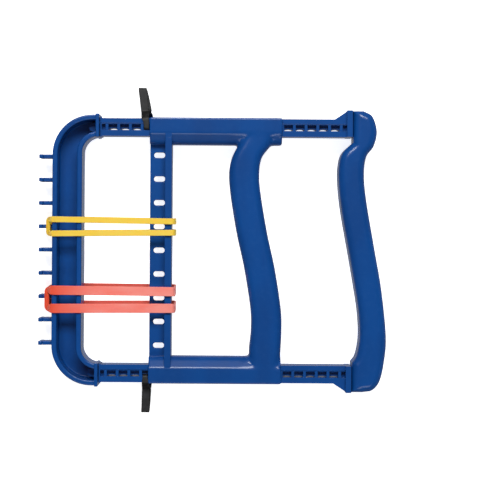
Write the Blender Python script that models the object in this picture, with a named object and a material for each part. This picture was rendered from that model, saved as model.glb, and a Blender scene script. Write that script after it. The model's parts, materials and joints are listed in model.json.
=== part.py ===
"""Hand grip strengthener: a frame with ladder rails, a sliding finger grip and rubber bands.

The grip lies on its back. +X runs from the band pegs to the palm handle, +Y along the handles
and +Z out of the front. Every sub-part is drawn about the parting plane, halfway through the
depth, which the parent empties hold above the surface that the grip lies on.
"""
import bmesh
import bpy
from math import cos, hypot, pi, sin
from mathutils import Vector

MM = 0.001
GAP = 0.3 * MM                      # left between pieces that touch

# Whole grip
HALF_DEPTH = 11.0 * MM              # palm handle and bow end plates, which rest on the surface
RAIL_Y = 67.0 * MM                  # centre of each rail, either side of the middle
LOOP_TIP_Y = 88.5 * MM              # tips of the stop loops' tails

# Band bow: a C-shaped channel with a row of pegs down its back
BOW_LEFT = -87.1 * MM
BOW_RIGHT = -71.0 * MM
BOW_END = -61.8 * MM
BOW_OUTER_Y = 73.5 * MM
BOW_INNER_Y = 61.8 * MM
BOW_OUTER_RADIUS = 21.7 * MM
BOW_INNER_RADIUS = 9.0 * MM
BOW_HALF_DEPTH = 9.6 * MM
BOW_WALL = 2.8 * MM
BOW_FLOOR_Z = -2.9 * MM             # floor of the front channel
BOW_FLOOR = 2.4 * MM                # thickness of that floor
END_PLATE = 1.9 * MM
END_PLATE_LIP = 0.5 * MM
LIP_ROUND = 0.7 * MM                # rounded edges of the bow's walls

# Pegs: a fin with a T-shaped head, one for every half inch
PEG_COUNT = 9
PEG_PITCH = 12.7 * MM
PEG_TIP = -94.6 * MM
PEG_THICKNESS = 2.2 * MM
PEG_HEAD = 2.2 * MM
PEG_HEAD_HALF_DEPTH = 7.0 * MM
PEG_NECK_HALF_DEPTH = 5.0 * MM

# Rails: ladder beams, with a pocket and a slot for every rung space
RAIL_START = -61.5 * MM
RAIL_END = 75.7 * MM
RAIL_HEIGHT = 9.6 * MM
RAIL_HALF_DEPTH = 7.0 * MM
RUNG_FIRST = -57.8 * MM
RUNG_PITCH = 6.37 * MM
RUNG_WIDTH = 1.55 * MM
RUNG_COUNT = 21
POCKET_HEIGHT = 3.3 * MM
RAIL_WEB = 2.4 * MM
SLOT_HEIGHT = 1.6 * MM
SLOT_SHIFT = 0.8 * MM               # slots sit towards the foot of the grip in both rails
START_FLANGE = 0.8 * MM
START_LIP = 0.5 * MM
END_FLANGE = 3.0 * MM
END_FLANGE_Y = 76.6 * MM
END_FLANGE_HALF_DEPTH = 10.0 * MM
GUSSET_LENGTH = 6.6 * MM
GUSSET_STEP = 0.4 * MM              # the gusset meets the flange this far below its top
TONGUE_NECK = 3.8 * MM              # snap tongue through the bow's end plate
TONGUE_HEAD = 5.0 * MM
TONGUE_LENGTH = 6.4 * MM
TONGUE_BARB = 3.4 * MM
TONGUE_LEAD = 0.8 * MM              # taper that leads the barb in
TONGUE_TIP = 1.0 * MM               # cut off each side of the tip
TONGUE_HALF_DEPTH = 2.2 * MM
TENON_LENGTH = 9.4 * MM             # tenon held inside the palm handle
TENON_HEIGHT = 6.4 * MM
TENON_HALF_DEPTH = 3.0 * MM

# Palm handle: two half shells with the rails' tenons between them
PALM_LEFT = 76.0 * MM
PALM_TOP = 76.4 * MM
PALM_EDGE = 4.2 * MM
PALM_WALL = 2.5 * MM
PALM_SIDE_WALL = 2.9 * MM
PALM_RIGHT_SIDE = ((81.8, 76.4), (86.6, 73.4), (89.0, 65.2), (87.2, 57.2), (83.3, 51.6), (82.1, 42.0),
                   (83.4, 28.0), (88.1, 1.1), (92.0, -21.0), (94.6, -46.0), (93.6, -60.0),
                   (91.3, -70.2), (87.4, -75.2), (81.8, -76.4))
PALM_LEFT_SIDE = ((76.0, -60.4), (78.6, -56.2), (80.2, -46.0), (79.4, -32.0), (76.7, -15.2),
                  (73.3, 3.8), (70.0, 22.0), (68.4, 36.0), (68.3, 46.0), (70.2, 53.4), (76.0, 59.2))
PALM_SCREWS = ((82.0, 67.0), (76.1, 33.0), (85.4, -24.0), (82.0, -67.0))

# Slider: two sleeves, the slotted bar and the finger handle
SLIDER_LEFT = -34.5 * MM
SLIDER_RIGHT = 37.5 * MM
SLEEVE_OUTER_Y = 72.3 * MM
SLEEVE_INNER_Y = 57.6 * MM
SLEEVE_HALF_DEPTH = 9.2 * MM
SLEEVE_ROUND = 7.0 * MM
BAR_RIB_LEFT = -26.0 * MM
BAR_RIB_RIGHT = -22.3 * MM
BAR_SINK = 0.1 * MM                 # bar below the sleeves' faces and behind their ends
BAR_HALF_THICKNESS = 1.25 * MM
BAR_SLOT_COUNT = 9
BAR_SLOT_PITCH = 13.0 * MM
BAR_SLOT_LENGTH = 6.1 * MM
BAR_SLOT_WIDTH = 2.9 * MM
BAR_SLOT_X = -29.3 * MM
FINGER_HALF_DEPTH = 9.1 * MM
FINGER_EDGE = 4.4 * MM
FINGER_END_Y = 61.6
FINGER_RIGHT_SIDE = ((33.6, 61.6), (31.4, 57.5), (26.5, 50.6), (25.2, 41.0), (26.3, 29.6), (29.8, 9.5),
                     (34.0, -9.5), (37.4, -31.0), (37.9, -43.0), (37.4, -54.0), (37.0, -61.6))
FINGER_LEFT_SIDE = ((20.6, -61.6), (20.2, -54.0), (21.2, -43.0), (20.8, -31.0), (17.3, -9.5),
                    (13.1, 9.5), (9.7, 29.6), (8.7, 42.0), (10.2, 50.6), (13.9, 58.0), (16.0, 61.6))
FINGER_SCREWS = ((16.9, 42.0), (23.3, 0.0), (29.3, -42.0))
COVER_THICKNESS = 3.6 * MM
COVER_INSET = 3.6 * MM              # inside the handle's sides and ends
COVER_END_Y = 50.0 * MM
COVER_STEPS = 16
CORE_INSET = 5.4 * MM
CORE_TOP = 6.2 * MM
CORE_END_Y = 48.0
CORE_STEP = 6.0 * MM
SIDE_STEPS = 6                      # fineness of the paths that covers and cores follow

# Screws, of one size throughout
SCREW_SHANK_RADIUS = 1.2 * MM
SCREW_HEAD_RADIUS = 2.7 * MM
SCREW_HEAD = 1.8 * MM
PALM_SCREW_LENGTH = 16.4 * MM
FINGER_SCREW_LENGTH = 12.0 * MM
SCREW_SINK = 0.5 * MM               # head below the face it is driven from
SCREW_CROSS = 0.8 * MM
SCREW_CROSS_REACH = 0.6             # of the head's radius
SCREW_CROSS_STEP = 0.05 * MM        # one arm of the cross is cut this much deeper
POST_HALF_LENGTH = 4.2 * MM

# Stop loops: a strap of rubber through one rung space of each rail and round its outer flange
STRAP_LEFT = -37.6 * MM
STRAP_RIGHT = -34.8 * MM
STRAP_THICKNESS = 1.0 * MM
STRAP_TAIL_WIDTH = 4.0 * MM
STRAP_ROOT = 4.2 * MM               # where the two layers meet, above the rail's outer flange
STRAP_SHOULDER = 0.4 * MM
STRAP_JOIN = 0.6 * MM
STRAP_TIP = 0.5 * MM
STRAP_WIDEN = 4.0                   # the tail is at full width after this part of its length
LAYER_GAP = 0.05 * MM
UPPER_TAIL_X = -38.7 * MM
LOWER_TAIL_X = -36.6 * MM

# Bands: each is hooked on a peg and doubled round the bar's rib
BAND_THICKNESS = 0.95 * MM
BAND_CLEARANCE = 0.25 * MM
HOOK_SINK = 0.05 * MM
HOOK_OVERLAP = 0.5 * MM
YELLOW_PEG = 3                      # counted from the top, from 0
YELLOW_WIDTH = 3.2 * MM
YELLOW_SPREAD = 3.85 * MM           # from the peg's middle to each strand's middle
RED_PEG = 6
RED_WIDTH = 5.0 * MM
RED_SPREAD = 4.95 * MM

BLUE = (0.012, 0.085, 0.300, 1.0)
YELLOW = (0.930, 0.620, 0.040, 1.0)
SALMON = (0.940, 0.220, 0.180, 1.0)
BLACK = (0.018, 0.018, 0.017, 1.0)
STEEL = (0.560, 0.570, 0.580, 1.0)

SHARPEST_CORNER = 0.35              # limit on how far an inset moves a corner


def clear_scene():
    """Remove every object of the starting scene."""
    for thing in list(bpy.data.objects):
        bpy.data.objects.remove(thing)


def make_material(name, colour, roughness, metallic=0.0):
    """Return a Principled material."""
    material = bpy.data.materials.new(name)
    material.use_nodes = True
    shader = material.node_tree.nodes["Principled BSDF"]
    shader.inputs["Base Color"].default_value = colour
    shader.inputs["Roughness"].default_value = roughness
    shader.inputs["Metallic"].default_value = metallic
    return material


def make_empty(name):
    """Return an empty on the parting plane, on the line along which the slider runs."""
    empty = bpy.data.objects.new(name, None)
    empty.location = (0, 0, HALF_DEPTH)
    bpy.context.scene.collection.objects.link(empty)
    return empty


def add_piece(name, mesh, material, parent, location=(0, 0, 0), smooth=0.6):
    """Link a mesh as a named piece under its parent."""
    piece = bpy.data.objects.new(name, mesh)
    piece.parent = parent
    piece.location = location
    if not mesh.materials:
        mesh.materials.append(material)
        mesh.shade_smooth()
        mesh.set_sharp_from_angle(angle=smooth)
    bpy.context.scene.collection.objects.link(piece)
    return piece


def arc(cx, cy, radius, start, end, steps):
    """Points on an arc, angles in quarter turns."""
    angles = [(start + (end - start) * i / steps) * pi / 2 for i in range(steps + 1)]
    return [(cx + radius * cos(a), cy + radius * sin(a)) for a in angles]


def smooth_path(knots, steps=3):
    """Points on a curve through the knots, which are in millimetres."""
    points = [Vector(knot) * MM for knot in knots]
    padded = [2 * points[0] - points[1]] + points + [2 * points[-1] - points[-2]]
    path = []
    for a, b, c, d in zip(padded, padded[1:], padded[2:], padded[3:]):
        for i in range(steps):
            t = i / steps
            path.append(0.5 * (2 * b + (c - a) * t + (2 * a - 5 * b + 4 * c - d) * t ** 2
                               + (3 * b - a - 3 * c + d) * t ** 3))
    return [(p.x, p.y) for p in path + [points[-1]]]


def inset(outline, distance):
    """Move every side of a clockwise or anticlockwise outline inwards."""
    count = len(outline)
    points = [Vector(p) for p in outline]
    area = sum(points[i - 1].cross(points[i]) for i in range(count))
    side = 1 if area > 0 else -1
    moved = []
    for i, point in enumerate(points):
        before = (point - points[i - 1]).normalized()
        after = (points[(i + 1) % count] - point).normalized()
        bisector = Vector((-(before.y + after.y), before.x + after.x)).normalized()
        stretch = max(SHARPEST_CORNER, bisector.dot(Vector((-before.y, before.x))))
        moved.append(tuple(point + bisector * side * distance / stretch))
    return moved


def narrowed(outline, distance):
    """Move the two long sides of a handle inwards, and leave its ends where they are."""
    half = len(outline) // 2
    moved = []
    for side, way in ((outline[:half], -1), (outline[half:], 1)):
        for i, (x, y) in enumerate(side):
            x0, y0 = side[max(0, i - 1)]
            x1, y1 = side[min(half - 1, i + 1)]
            lean = hypot(x1 - x0, y1 - y0) / abs(y1 - y0)
            moved.append((x + way * distance * lean, y))
    return moved


def prism(outline, low, high, low_edge=0.0, high_edge=0.0, steps=3, shrink=inset):
    """A closed mesh of an outline between two heights, its edges rounded where asked."""
    levels = []
    if low_edge:
        for i in range(steps):
            turn = pi / 2 * i / steps
            levels.append((low_edge * (1 - sin(turn)), low + low_edge * (1 - cos(turn))))
    levels.append((0.0, low + low_edge))
    levels.append((0.0, high - high_edge))
    if high_edge:
        for i in range(1, steps + 1):
            turn = pi / 2 * i / steps
            levels.append((high_edge * (1 - cos(turn)), high - high_edge * (1 - sin(turn))))
    shape = bmesh.new()
    rings = []
    for distance, height in levels:
        points = shrink(outline, distance) if distance else outline
        rings.append([shape.verts.new((x, y, height)) for x, y in points])
    for lower, upper in zip(rings, rings[1:]):
        for i in range(len(outline)):
            shape.faces.new((lower[i - 1], lower[i], upper[i], upper[i - 1]))
    shape.faces.new(rings[0])
    shape.faces.new(rings[-1])
    return finish_mesh(shape)


def finish_mesh(shape):
    """Point all faces outwards and turn the bmesh into a mesh."""
    bmesh.ops.recalc_face_normals(shape, faces=shape.faces)
    mesh = bpy.data.meshes.new("shape")
    shape.to_mesh(mesh)
    shape.free()
    return mesh


def block(x_range, y_range, z_range):
    """A box between the given limits."""
    corners = [(x_range[0], y_range[0]), (x_range[1], y_range[0]),
               (x_range[1], y_range[1]), (x_range[0], y_range[1])]
    return prism(corners, *z_range)


def centred_block(x, y, half_x, half_y, z_range):
    """A box about a point of the parting plane."""
    return block((x - half_x, x + half_x), (y - half_y, y + half_y), z_range)


def disc(x, y, radius, z_range, sides=14):
    """An upright cylinder."""
    return prism(arc(x, y, radius, 0, 4, sides)[:-1], *z_range)


def along_x(profile, x_range):
    """A closed mesh of a (y, z) profile drawn out along X."""
    mesh = prism(profile, *x_range)
    for vertex in mesh.vertices:
        y, z, x = vertex.co
        vertex.co = (x, y, z)
    return mesh


def along_y(profile, y_range):
    """A closed mesh of a (z, x) profile drawn out along Y."""
    mesh = prism(profile, *y_range)
    for vertex in mesh.vertices:
        z, x, y = vertex.co
        vertex.co = (x, y, z)
    return mesh


def combine(meshes):
    """Several meshes that stay clear of each other, as one."""
    shape = bmesh.new()
    for mesh in meshes:
        shape.from_mesh(mesh)
    return finish_mesh(shape)


def boolean(mesh, other, operation="DIFFERENCE"):
    """Return the mesh cut by, or joined to, another."""
    target = bpy.data.objects.new("target", mesh)
    tool = bpy.data.objects.new("tool", other)
    for thing in (target, tool):
        bpy.context.scene.collection.objects.link(thing)
    modifier = target.modifiers.new("boolean", "BOOLEAN")
    modifier.operation = operation
    modifier.solver = "EXACT"
    modifier.object = tool
    evaluated = target.evaluated_get(bpy.context.evaluated_depsgraph_get())
    result = bpy.data.meshes.new_from_object(evaluated)
    bpy.data.objects.remove(target)
    bpy.data.objects.remove(tool)
    return result


def union(first, *others):
    """Return one mesh of several that overlap."""
    for other in others:
        first = boolean(first, other, "UNION")
    return first


def mirrored(mesh):
    """A copy turned upside down in Y."""
    shape = bmesh.new()
    shape.from_mesh(mesh)
    for vertex in shape.verts:
        vertex.co.y = -vertex.co.y
    bmesh.ops.reverse_faces(shape, faces=shape.faces)
    return finish_mesh(shape)


def bow_outline(wall, end):
    """The C of the bow, or of its channel, a wall's thickness inside it."""
    turn_x = BOW_LEFT + BOW_OUTER_RADIUS
    turn_y = BOW_OUTER_Y - BOW_OUTER_RADIUS
    inner_x = BOW_RIGHT + BOW_INNER_RADIUS
    inner_y = BOW_INNER_Y - BOW_INNER_RADIUS
    outer = BOW_OUTER_RADIUS - wall
    inner = BOW_INNER_RADIUS + wall
    half = [(end, BOW_OUTER_Y - wall)] + arc(turn_x, turn_y, outer, 1, 2, 9)
    back = arc(inner_x, inner_y, inner, 2, 1, 7)
    if end - inner_x > 0.1 * MM:
        back.append((end, BOW_INNER_Y + wall))
    below = [(x, -y) for x, y in reversed(half)]
    below_back = [(x, -y) for x, y in reversed(back)]
    return half + below + below_back + back


def peg(y):
    """One peg: a T-shaped fin at the given height up the bow."""
    neck = PEG_NECK_HALF_DEPTH
    head = PEG_HEAD_HALF_DEPTH
    root = BOW_LEFT + BOW_WALL / 2
    step = PEG_TIP + PEG_HEAD
    profile = [(-head, PEG_TIP), (-head, step), (-neck, step), (-neck, root),
               (neck, root), (neck, step), (head, step), (head, PEG_TIP)]
    return along_y(profile, (y - PEG_THICKNESS / 2, y + PEG_THICKNESS / 2))


def peg_y(index):
    """Height of a peg, counted down from the top one."""
    return ((PEG_COUNT - 1) / 2 - index) * PEG_PITCH


def make_bow():
    """The band bow, with its channels, pegs and end plates."""
    body = prism(bow_outline(0, BOW_END - END_PLATE / 2), -BOW_HALF_DEPTH, BOW_HALF_DEPTH,
                 LIP_ROUND, LIP_ROUND, 2)
    channel = bow_outline(BOW_WALL, BOW_END - END_PLATE)
    beyond = BOW_HALF_DEPTH + MM
    channels = combine([prism(channel, BOW_FLOOR_Z, beyond),
                        prism(channel, -beyond, BOW_FLOOR_Z - BOW_FLOOR)])
    body = boolean(body, channels)
    plate_y = (BOW_INNER_Y - END_PLATE_LIP, BOW_OUTER_Y + END_PLATE_LIP)
    plate = block((BOW_END - END_PLATE, BOW_END), plate_y, (-HALF_DEPTH, HALF_DEPTH))
    plates = combine([plate, mirrored(plate)])
    pegs = combine([peg(peg_y(index)) for index in range(PEG_COUNT)])
    body = union(body, plates, pegs)
    hole = centred_block(BOW_END, RAIL_Y, END_PLATE + MM, TONGUE_NECK / 2 + GAP,
                         (-TONGUE_HALF_DEPTH - GAP, TONGUE_HALF_DEPTH + GAP))
    return boolean(body, combine([hole, mirrored(hole)]))


def make_rail(slot_y):
    """A rail in the upper place, its slots at the given height: beam, flanges, snap tongue and tenon."""
    low = RAIL_Y - RAIL_HEIGHT / 2
    high = RAIL_Y + RAIL_HEIGHT / 2
    start = RAIL_START + START_FLANGE
    flange = RAIL_END - END_FLANGE
    outline = [(RAIL_START, low - START_LIP), (start, low - START_LIP), (start, low),
               (flange + MM, low), (flange + MM, END_FLANGE_Y), (flange, END_FLANGE_Y - GUSSET_STEP),
               (flange - GUSSET_LENGTH, high), (start, high), (start, high + START_LIP),
               (RAIL_START, high + START_LIP)]
    beam = prism(outline, -RAIL_HALF_DEPTH, RAIL_HALF_DEPTH)
    plate = block((flange, RAIL_END), (low, END_FLANGE_Y), (-END_FLANGE_HALF_DEPTH, END_FLANGE_HALF_DEPTH))
    depth = (-TENON_HALF_DEPTH, TENON_HALF_DEPTH)
    tenon = block((RAIL_END - MM, RAIL_END + TENON_LENGTH),
                  (RAIL_Y - TENON_HEIGHT / 2, RAIL_Y + TENON_HEIGHT / 2), depth)
    tip = RAIL_START - TONGUE_LENGTH
    barb = tip + TONGUE_BARB
    lead = tip + TONGUE_LEAD
    neck = TONGUE_NECK / 2
    head = TONGUE_HEAD / 2
    half = [(RAIL_START + MM, neck), (barb, neck), (barb, head), (lead, neck), (tip, neck - TONGUE_TIP)]
    tongue = prism([(x, RAIL_Y + y) for x, y in half] + [(x, RAIL_Y - y) for x, y in reversed(half)],
                   -TONGUE_HALF_DEPTH, TONGUE_HALF_DEPTH)
    rail = union(beam, plate, tenon, tongue)
    rail = boolean(rail, combine(rung_spaces(slot_y)))
    screw_x, screw_y = PALM_SCREWS[0]
    hole = disc(screw_x * MM, screw_y * MM, SCREW_SHANK_RADIUS + GAP, (-HALF_DEPTH, HALF_DEPTH))
    return boolean(rail, hole)


def rung_spaces(slot_y):
    """Cutters for the pockets on both faces of a rail and the slots through its web."""
    beyond = RAIL_HALF_DEPTH + MM
    web = RAIL_WEB / 2
    low = RAIL_Y - POCKET_HEIGHT / 2
    cutters = []
    for index in range(-1, RUNG_COUNT):
        start = RUNG_FIRST + RUNG_PITCH * index + RUNG_WIDTH / 2
        end = start + RUNG_PITCH - RUNG_WIDTH
        x_range = (max(start, RAIL_START + START_FLANGE), min(end, RAIL_END - END_FLANGE))
        y_range = (low, low + POCKET_HEIGHT)
        pocket = block(x_range, y_range, (web, beyond))
        back_pocket = block(x_range, y_range, (-beyond, -web))
        if index in (-1, RUNG_COUNT - 1):
            cutters += [pocket, back_pocket]
            continue
        slot = block(x_range, (slot_y - SLOT_HEIGHT / 2, slot_y + SLOT_HEIGHT / 2), (-web - MM, web + MM))
        cutters.append(union(pocket, slot, back_pocket))
    return cutters


def palm_outline():
    """The palm handle seen from the front."""
    right = smooth_path(PALM_RIGHT_SIDE)
    left = smooth_path(PALM_LEFT_SIDE)
    return [(PALM_LEFT, PALM_TOP)] + right + [(PALM_LEFT, -PALM_TOP)] + left


def side_at(path, y):
    """Where a side path crosses the given height."""
    for (x0, y0), (x1, y1) in zip(path, path[1:]):
        if (y0 - y) * (y1 - y) <= 0 and y0 != y1:
            return x0 + (x1 - x0) * (y - y0) / (y1 - y0)
    return path[-1][0]


def cores(left_side, right_side, stops, margin, z_range):
    """Cutters for the hollow of a handle, between one screw post and the next."""
    left_path = smooth_path(left_side, SIDE_STEPS)
    right_path = smooth_path(right_side, SIDE_STEPS)
    cutters = []
    for top, bottom in zip(stops, stops[1:]):
        high = top * MM - POST_HALF_LENGTH
        low = bottom * MM + POST_HALF_LENGTH
        count = max(3, round((high - low) / CORE_STEP))
        levels = [low + (high - low) * i / count for i in range(count + 1)]
        left = [(side_at(left_path, y) + margin, y) for y in levels]
        right = [(side_at(right_path, y) - margin, y) for y in reversed(levels)]
        cutters.append(prism(left + right, *z_range))
    return combine(cutters)


def screw_holes(places, low, high, face=None):
    """Cutters for a row of screw shanks and, where a face is given, their sunk heads."""
    holes = []
    for x, y in places:
        hole = disc(x * MM, y * MM, SCREW_SHANK_RADIUS + GAP, (low, high))
        if face is not None:
            seat = face + SCREW_SINK + SCREW_HEAD + GAP
            sink = disc(x * MM, y * MM, SCREW_HEAD_RADIUS + GAP, (face - MM, seat))
            hole = union(hole, sink)
        holes.append(hole)
    return combine(holes)


def tenon_seats(z_range):
    """Cutters for the two sockets that hold the rails' tenons."""
    seat = block((PALM_LEFT - MM, RAIL_END + TENON_LENGTH + GAP),
                 (RAIL_Y - TENON_HEIGHT / 2 - GAP, RAIL_Y + TENON_HEIGHT / 2 + GAP), z_range)
    return combine([seat, mirrored(seat)])


def make_palm_half(front):
    """Half of the palm handle, hollow between its screw posts."""
    outline = palm_outline()
    split = GAP / 2
    hollow = HALF_DEPTH - PALM_WALL
    screw_ys = [y for _, y in PALM_SCREWS]
    if front:
        shell = prism(outline, split, HALF_DEPTH, 0.0, PALM_EDGE)
        core = cores(PALM_LEFT_SIDE, PALM_RIGHT_SIDE, screw_ys, PALM_SIDE_WALL, (-MM, hollow))
        holes = screw_holes(PALM_SCREWS, -MM, PALM_SCREW_LENGTH - HALF_DEPTH + MM)
        seats = tenon_seats((-MM, TENON_HALF_DEPTH + GAP))
    else:
        shell = prism(outline, -HALF_DEPTH, -split, PALM_EDGE, 0.0)
        core = cores(PALM_LEFT_SIDE, PALM_RIGHT_SIDE, screw_ys, PALM_SIDE_WALL, (-hollow, MM))
        holes = screw_holes(PALM_SCREWS, -HALF_DEPTH, MM, -HALF_DEPTH)
        seats = tenon_seats((-TENON_HALF_DEPTH - GAP, MM))
    return boolean(boolean(boolean(shell, core), holes), seats)


def make_screw(length):
    """A pan-head screw, its head's top at the origin and its shank along +Z."""
    shape = union(disc(0, 0, SCREW_HEAD_RADIUS, (0, SCREW_HEAD)),
                  disc(0, 0, SCREW_SHANK_RADIUS, (SCREW_HEAD / 2, length), 10))
    half = SCREW_HEAD_RADIUS * SCREW_CROSS_REACH
    width = SCREW_CROSS / 2
    recess = union(centred_block(0, 0, half, width, (-MM, SCREW_HEAD / 2)),
                   centred_block(0, 0, width, half, (-2 * MM, SCREW_HEAD / 2 + SCREW_CROSS_STEP)))
    return boolean(shape, recess)


def sleeve_profile():
    """The upper sleeve's section in (y, z): a channel, open outwards, round towards the middle."""
    mouth = RAIL_Y - RAIL_HEIGHT / 2 - GAP
    cheek = RAIL_HALF_DEPTH + GAP
    turn_y = SLEEVE_INNER_Y + SLEEVE_ROUND
    turn_z = SLEEVE_HALF_DEPTH - SLEEVE_ROUND
    return ([(SLEEVE_OUTER_Y, cheek), (SLEEVE_OUTER_Y, SLEEVE_HALF_DEPTH)]
            + arc(turn_y, turn_z, SLEEVE_ROUND, 1, 2, 5)
            + arc(turn_y, -turn_z, SLEEVE_ROUND, 2, 3, 5)
            + [(SLEEVE_OUTER_Y, -SLEEVE_HALF_DEPTH), (SLEEVE_OUTER_Y, -cheek), (mouth, -cheek),
               (mouth, cheek)])


def obround(x, y, length, width, steps=4):
    """A slot outline, long in X."""
    reach = (length - width) / 2
    return (arc(x + reach, y, width / 2, -1, 1, steps) + arc(x - reach, y, width / 2, 1, 3, steps))


def finger_solid():
    """The finger handle between the two sleeves, round along both sides."""
    outline = smooth_path(FINGER_RIGHT_SIDE) + smooth_path(FINGER_LEFT_SIDE)
    return prism(outline, -FINGER_HALF_DEPTH, FINGER_HALF_DEPTH, FINGER_EDGE, FINGER_EDGE, shrink=narrowed)


def cover_outline(margin):
    """The finger handle's back cover, a margin inside the handle's sides."""
    left_path = smooth_path(FINGER_LEFT_SIDE, SIDE_STEPS)
    right_path = smooth_path(FINGER_RIGHT_SIDE, SIDE_STEPS)
    end = COVER_END_Y - margin
    levels = [end - 2 * end * i / COVER_STEPS for i in range(COVER_STEPS + 1)]
    right = [(side_at(right_path, y) - margin, y) for y in levels]
    left = [(side_at(left_path, y) + margin, y) for y in reversed(levels)]
    return right + left


def make_slider():
    """The slider: sleeves, slotted bar and finger handle in one moulding."""
    sleeve = along_x(sleeve_profile(), (SLIDER_LEFT, SLIDER_RIGHT))
    rib_end = RAIL_Y - RAIL_HEIGHT / 2 - 2 * GAP
    rib_depth = SLEEVE_HALF_DEPTH - BAR_SINK
    rib = block((BAR_RIB_LEFT, BAR_RIB_RIGHT), (-rib_end, rib_end), (-rib_depth, rib_depth))
    web = block((SLIDER_LEFT + BAR_SINK, BAR_RIB_LEFT + MM), (-rib_end, rib_end),
                (-BAR_HALF_THICKNESS, BAR_HALF_THICKNESS))
    slot_ys = [(index - (BAR_SLOT_COUNT - 1) / 2) * BAR_SLOT_PITCH for index in range(BAR_SLOT_COUNT)]
    slots = combine([prism(obround(BAR_SLOT_X, y, BAR_SLOT_LENGTH, BAR_SLOT_WIDTH),
                           -2 * BAR_HALF_THICKNESS, 2 * BAR_HALF_THICKNESS) for y in slot_ys])
    handle = finger_solid()
    body = union(handle, combine([sleeve, mirrored(sleeve)]), rib, boolean(web, slots))
    ledge = COVER_THICKNESS + GAP - FINGER_HALF_DEPTH
    recess = prism(cover_outline(COVER_INSET), -FINGER_HALF_DEPTH - MM, ledge)
    end = CORE_END_Y + POST_HALF_LENGTH / MM
    stops = [end] + [y for _, y in FINGER_SCREWS] + [-end]
    core = cores(FINGER_LEFT_SIDE, FINGER_RIGHT_SIDE, stops, CORE_INSET, (ledge - MM, CORE_TOP))
    holes = screw_holes(FINGER_SCREWS, ledge - MM, FINGER_SCREW_LENGTH - FINGER_HALF_DEPTH + MM)
    return boolean(boolean(boolean(body, recess), core), holes)


def make_cover():
    """The cover over the finger handle's back, rounded like the handle."""
    plate = prism(cover_outline(COVER_INSET + GAP), -FINGER_HALF_DEPTH - MM,
                  COVER_THICKNESS - FINGER_HALF_DEPTH)
    plate = boolean(plate, finger_solid(), "INTERSECT")
    holes = screw_holes(FINGER_SCREWS, -FINGER_HALF_DEPTH, 0, -FINGER_HALF_DEPTH)
    return boolean(plate, holes)


def make_stop_loop(slot_y, tail_x):
    """A stop loop in the upper place, through a slot, its tail leaning to the given X at its tip."""
    thickness = STRAP_THICKNESS
    front = RAIL_HALF_DEPTH + GAP
    bottom = slot_y - thickness / 2
    flange = RAIL_Y + RAIL_HEIGHT / 2 + GAP
    root = flange + STRAP_ROOT
    shoulder = flange + STRAP_SHOULDER
    join = root + STRAP_JOIN
    split = root - STRAP_SHOULDER
    tail = thickness + LAYER_GAP
    tip = LOOP_TIP_Y - STRAP_TIP
    half = [(bottom, front + thickness), (shoulder, front + thickness), (join, tail), (tip, tail),
            (LOOP_TIP_Y, tail / 2)]
    hole = [(bottom + thickness, front), (flange, front), (split, 4 * LAYER_GAP)]
    outer = half + [(y, -z) for y, z in reversed(half)]
    inner = hole + [(y, -z) for y, z in reversed(hole)]
    strap = boolean(along_x(outer, (STRAP_LEFT, STRAP_RIGHT)),
                    along_x(inner, (STRAP_LEFT - MM, STRAP_RIGHT + MM)))
    middle = (STRAP_LEFT + STRAP_RIGHT) / 2
    widen = STRAP_TAIL_WIDTH / (STRAP_RIGHT - STRAP_LEFT)
    for vertex in strap.vertices:
        rise = (vertex.co.y - root) / (LOOP_TIP_Y - root)
        if rise > 0:
            spread = 1 + (widen - 1) * min(1, rise * STRAP_WIDEN)
            vertex.co.x = middle + (tail_x - middle) * rise + (vertex.co.x - middle) * spread
    return strap


def make_band(peg, width, spread):
    """A band doubled from a peg round the bar's rib: two rings joined across the peg's neck."""
    front = BOW_HALF_DEPTH + BAND_CLEARANCE
    outside = front + BAND_THICKNESS
    left = BOW_LEFT - GAP
    far_left = left - 2 * BAND_THICKNESS - GAP
    right = BAR_RIB_RIGHT + GAP
    far_right = right + BAND_THICKNESS
    strands = []
    for side in (-1, 1):
        middle = peg_y(peg) + side * spread
        y_range = (middle - width / 2, middle + width / 2)
        ring = boolean(block((far_left, far_right), y_range, (-outside, outside)),
                       block((left, right), (y_range[0] - MM, y_range[1] + MM), (-front, front)))
        strands.append(ring)
    reach = spread - width / 2 + HOOK_OVERLAP
    neck = PEG_NECK_HALF_DEPTH + GAP
    hooks = [centred_block((left + far_left) / 2, peg_y(peg), (left - far_left) / 2 - HOOK_SINK, reach,
                           (min(side * neck, side * (neck + BAND_THICKNESS)),
                            max(side * neck, side * (neck + BAND_THICKNESS)))) for side in (-1, 1)]
    return union(combine(strands), combine(hooks))


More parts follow.
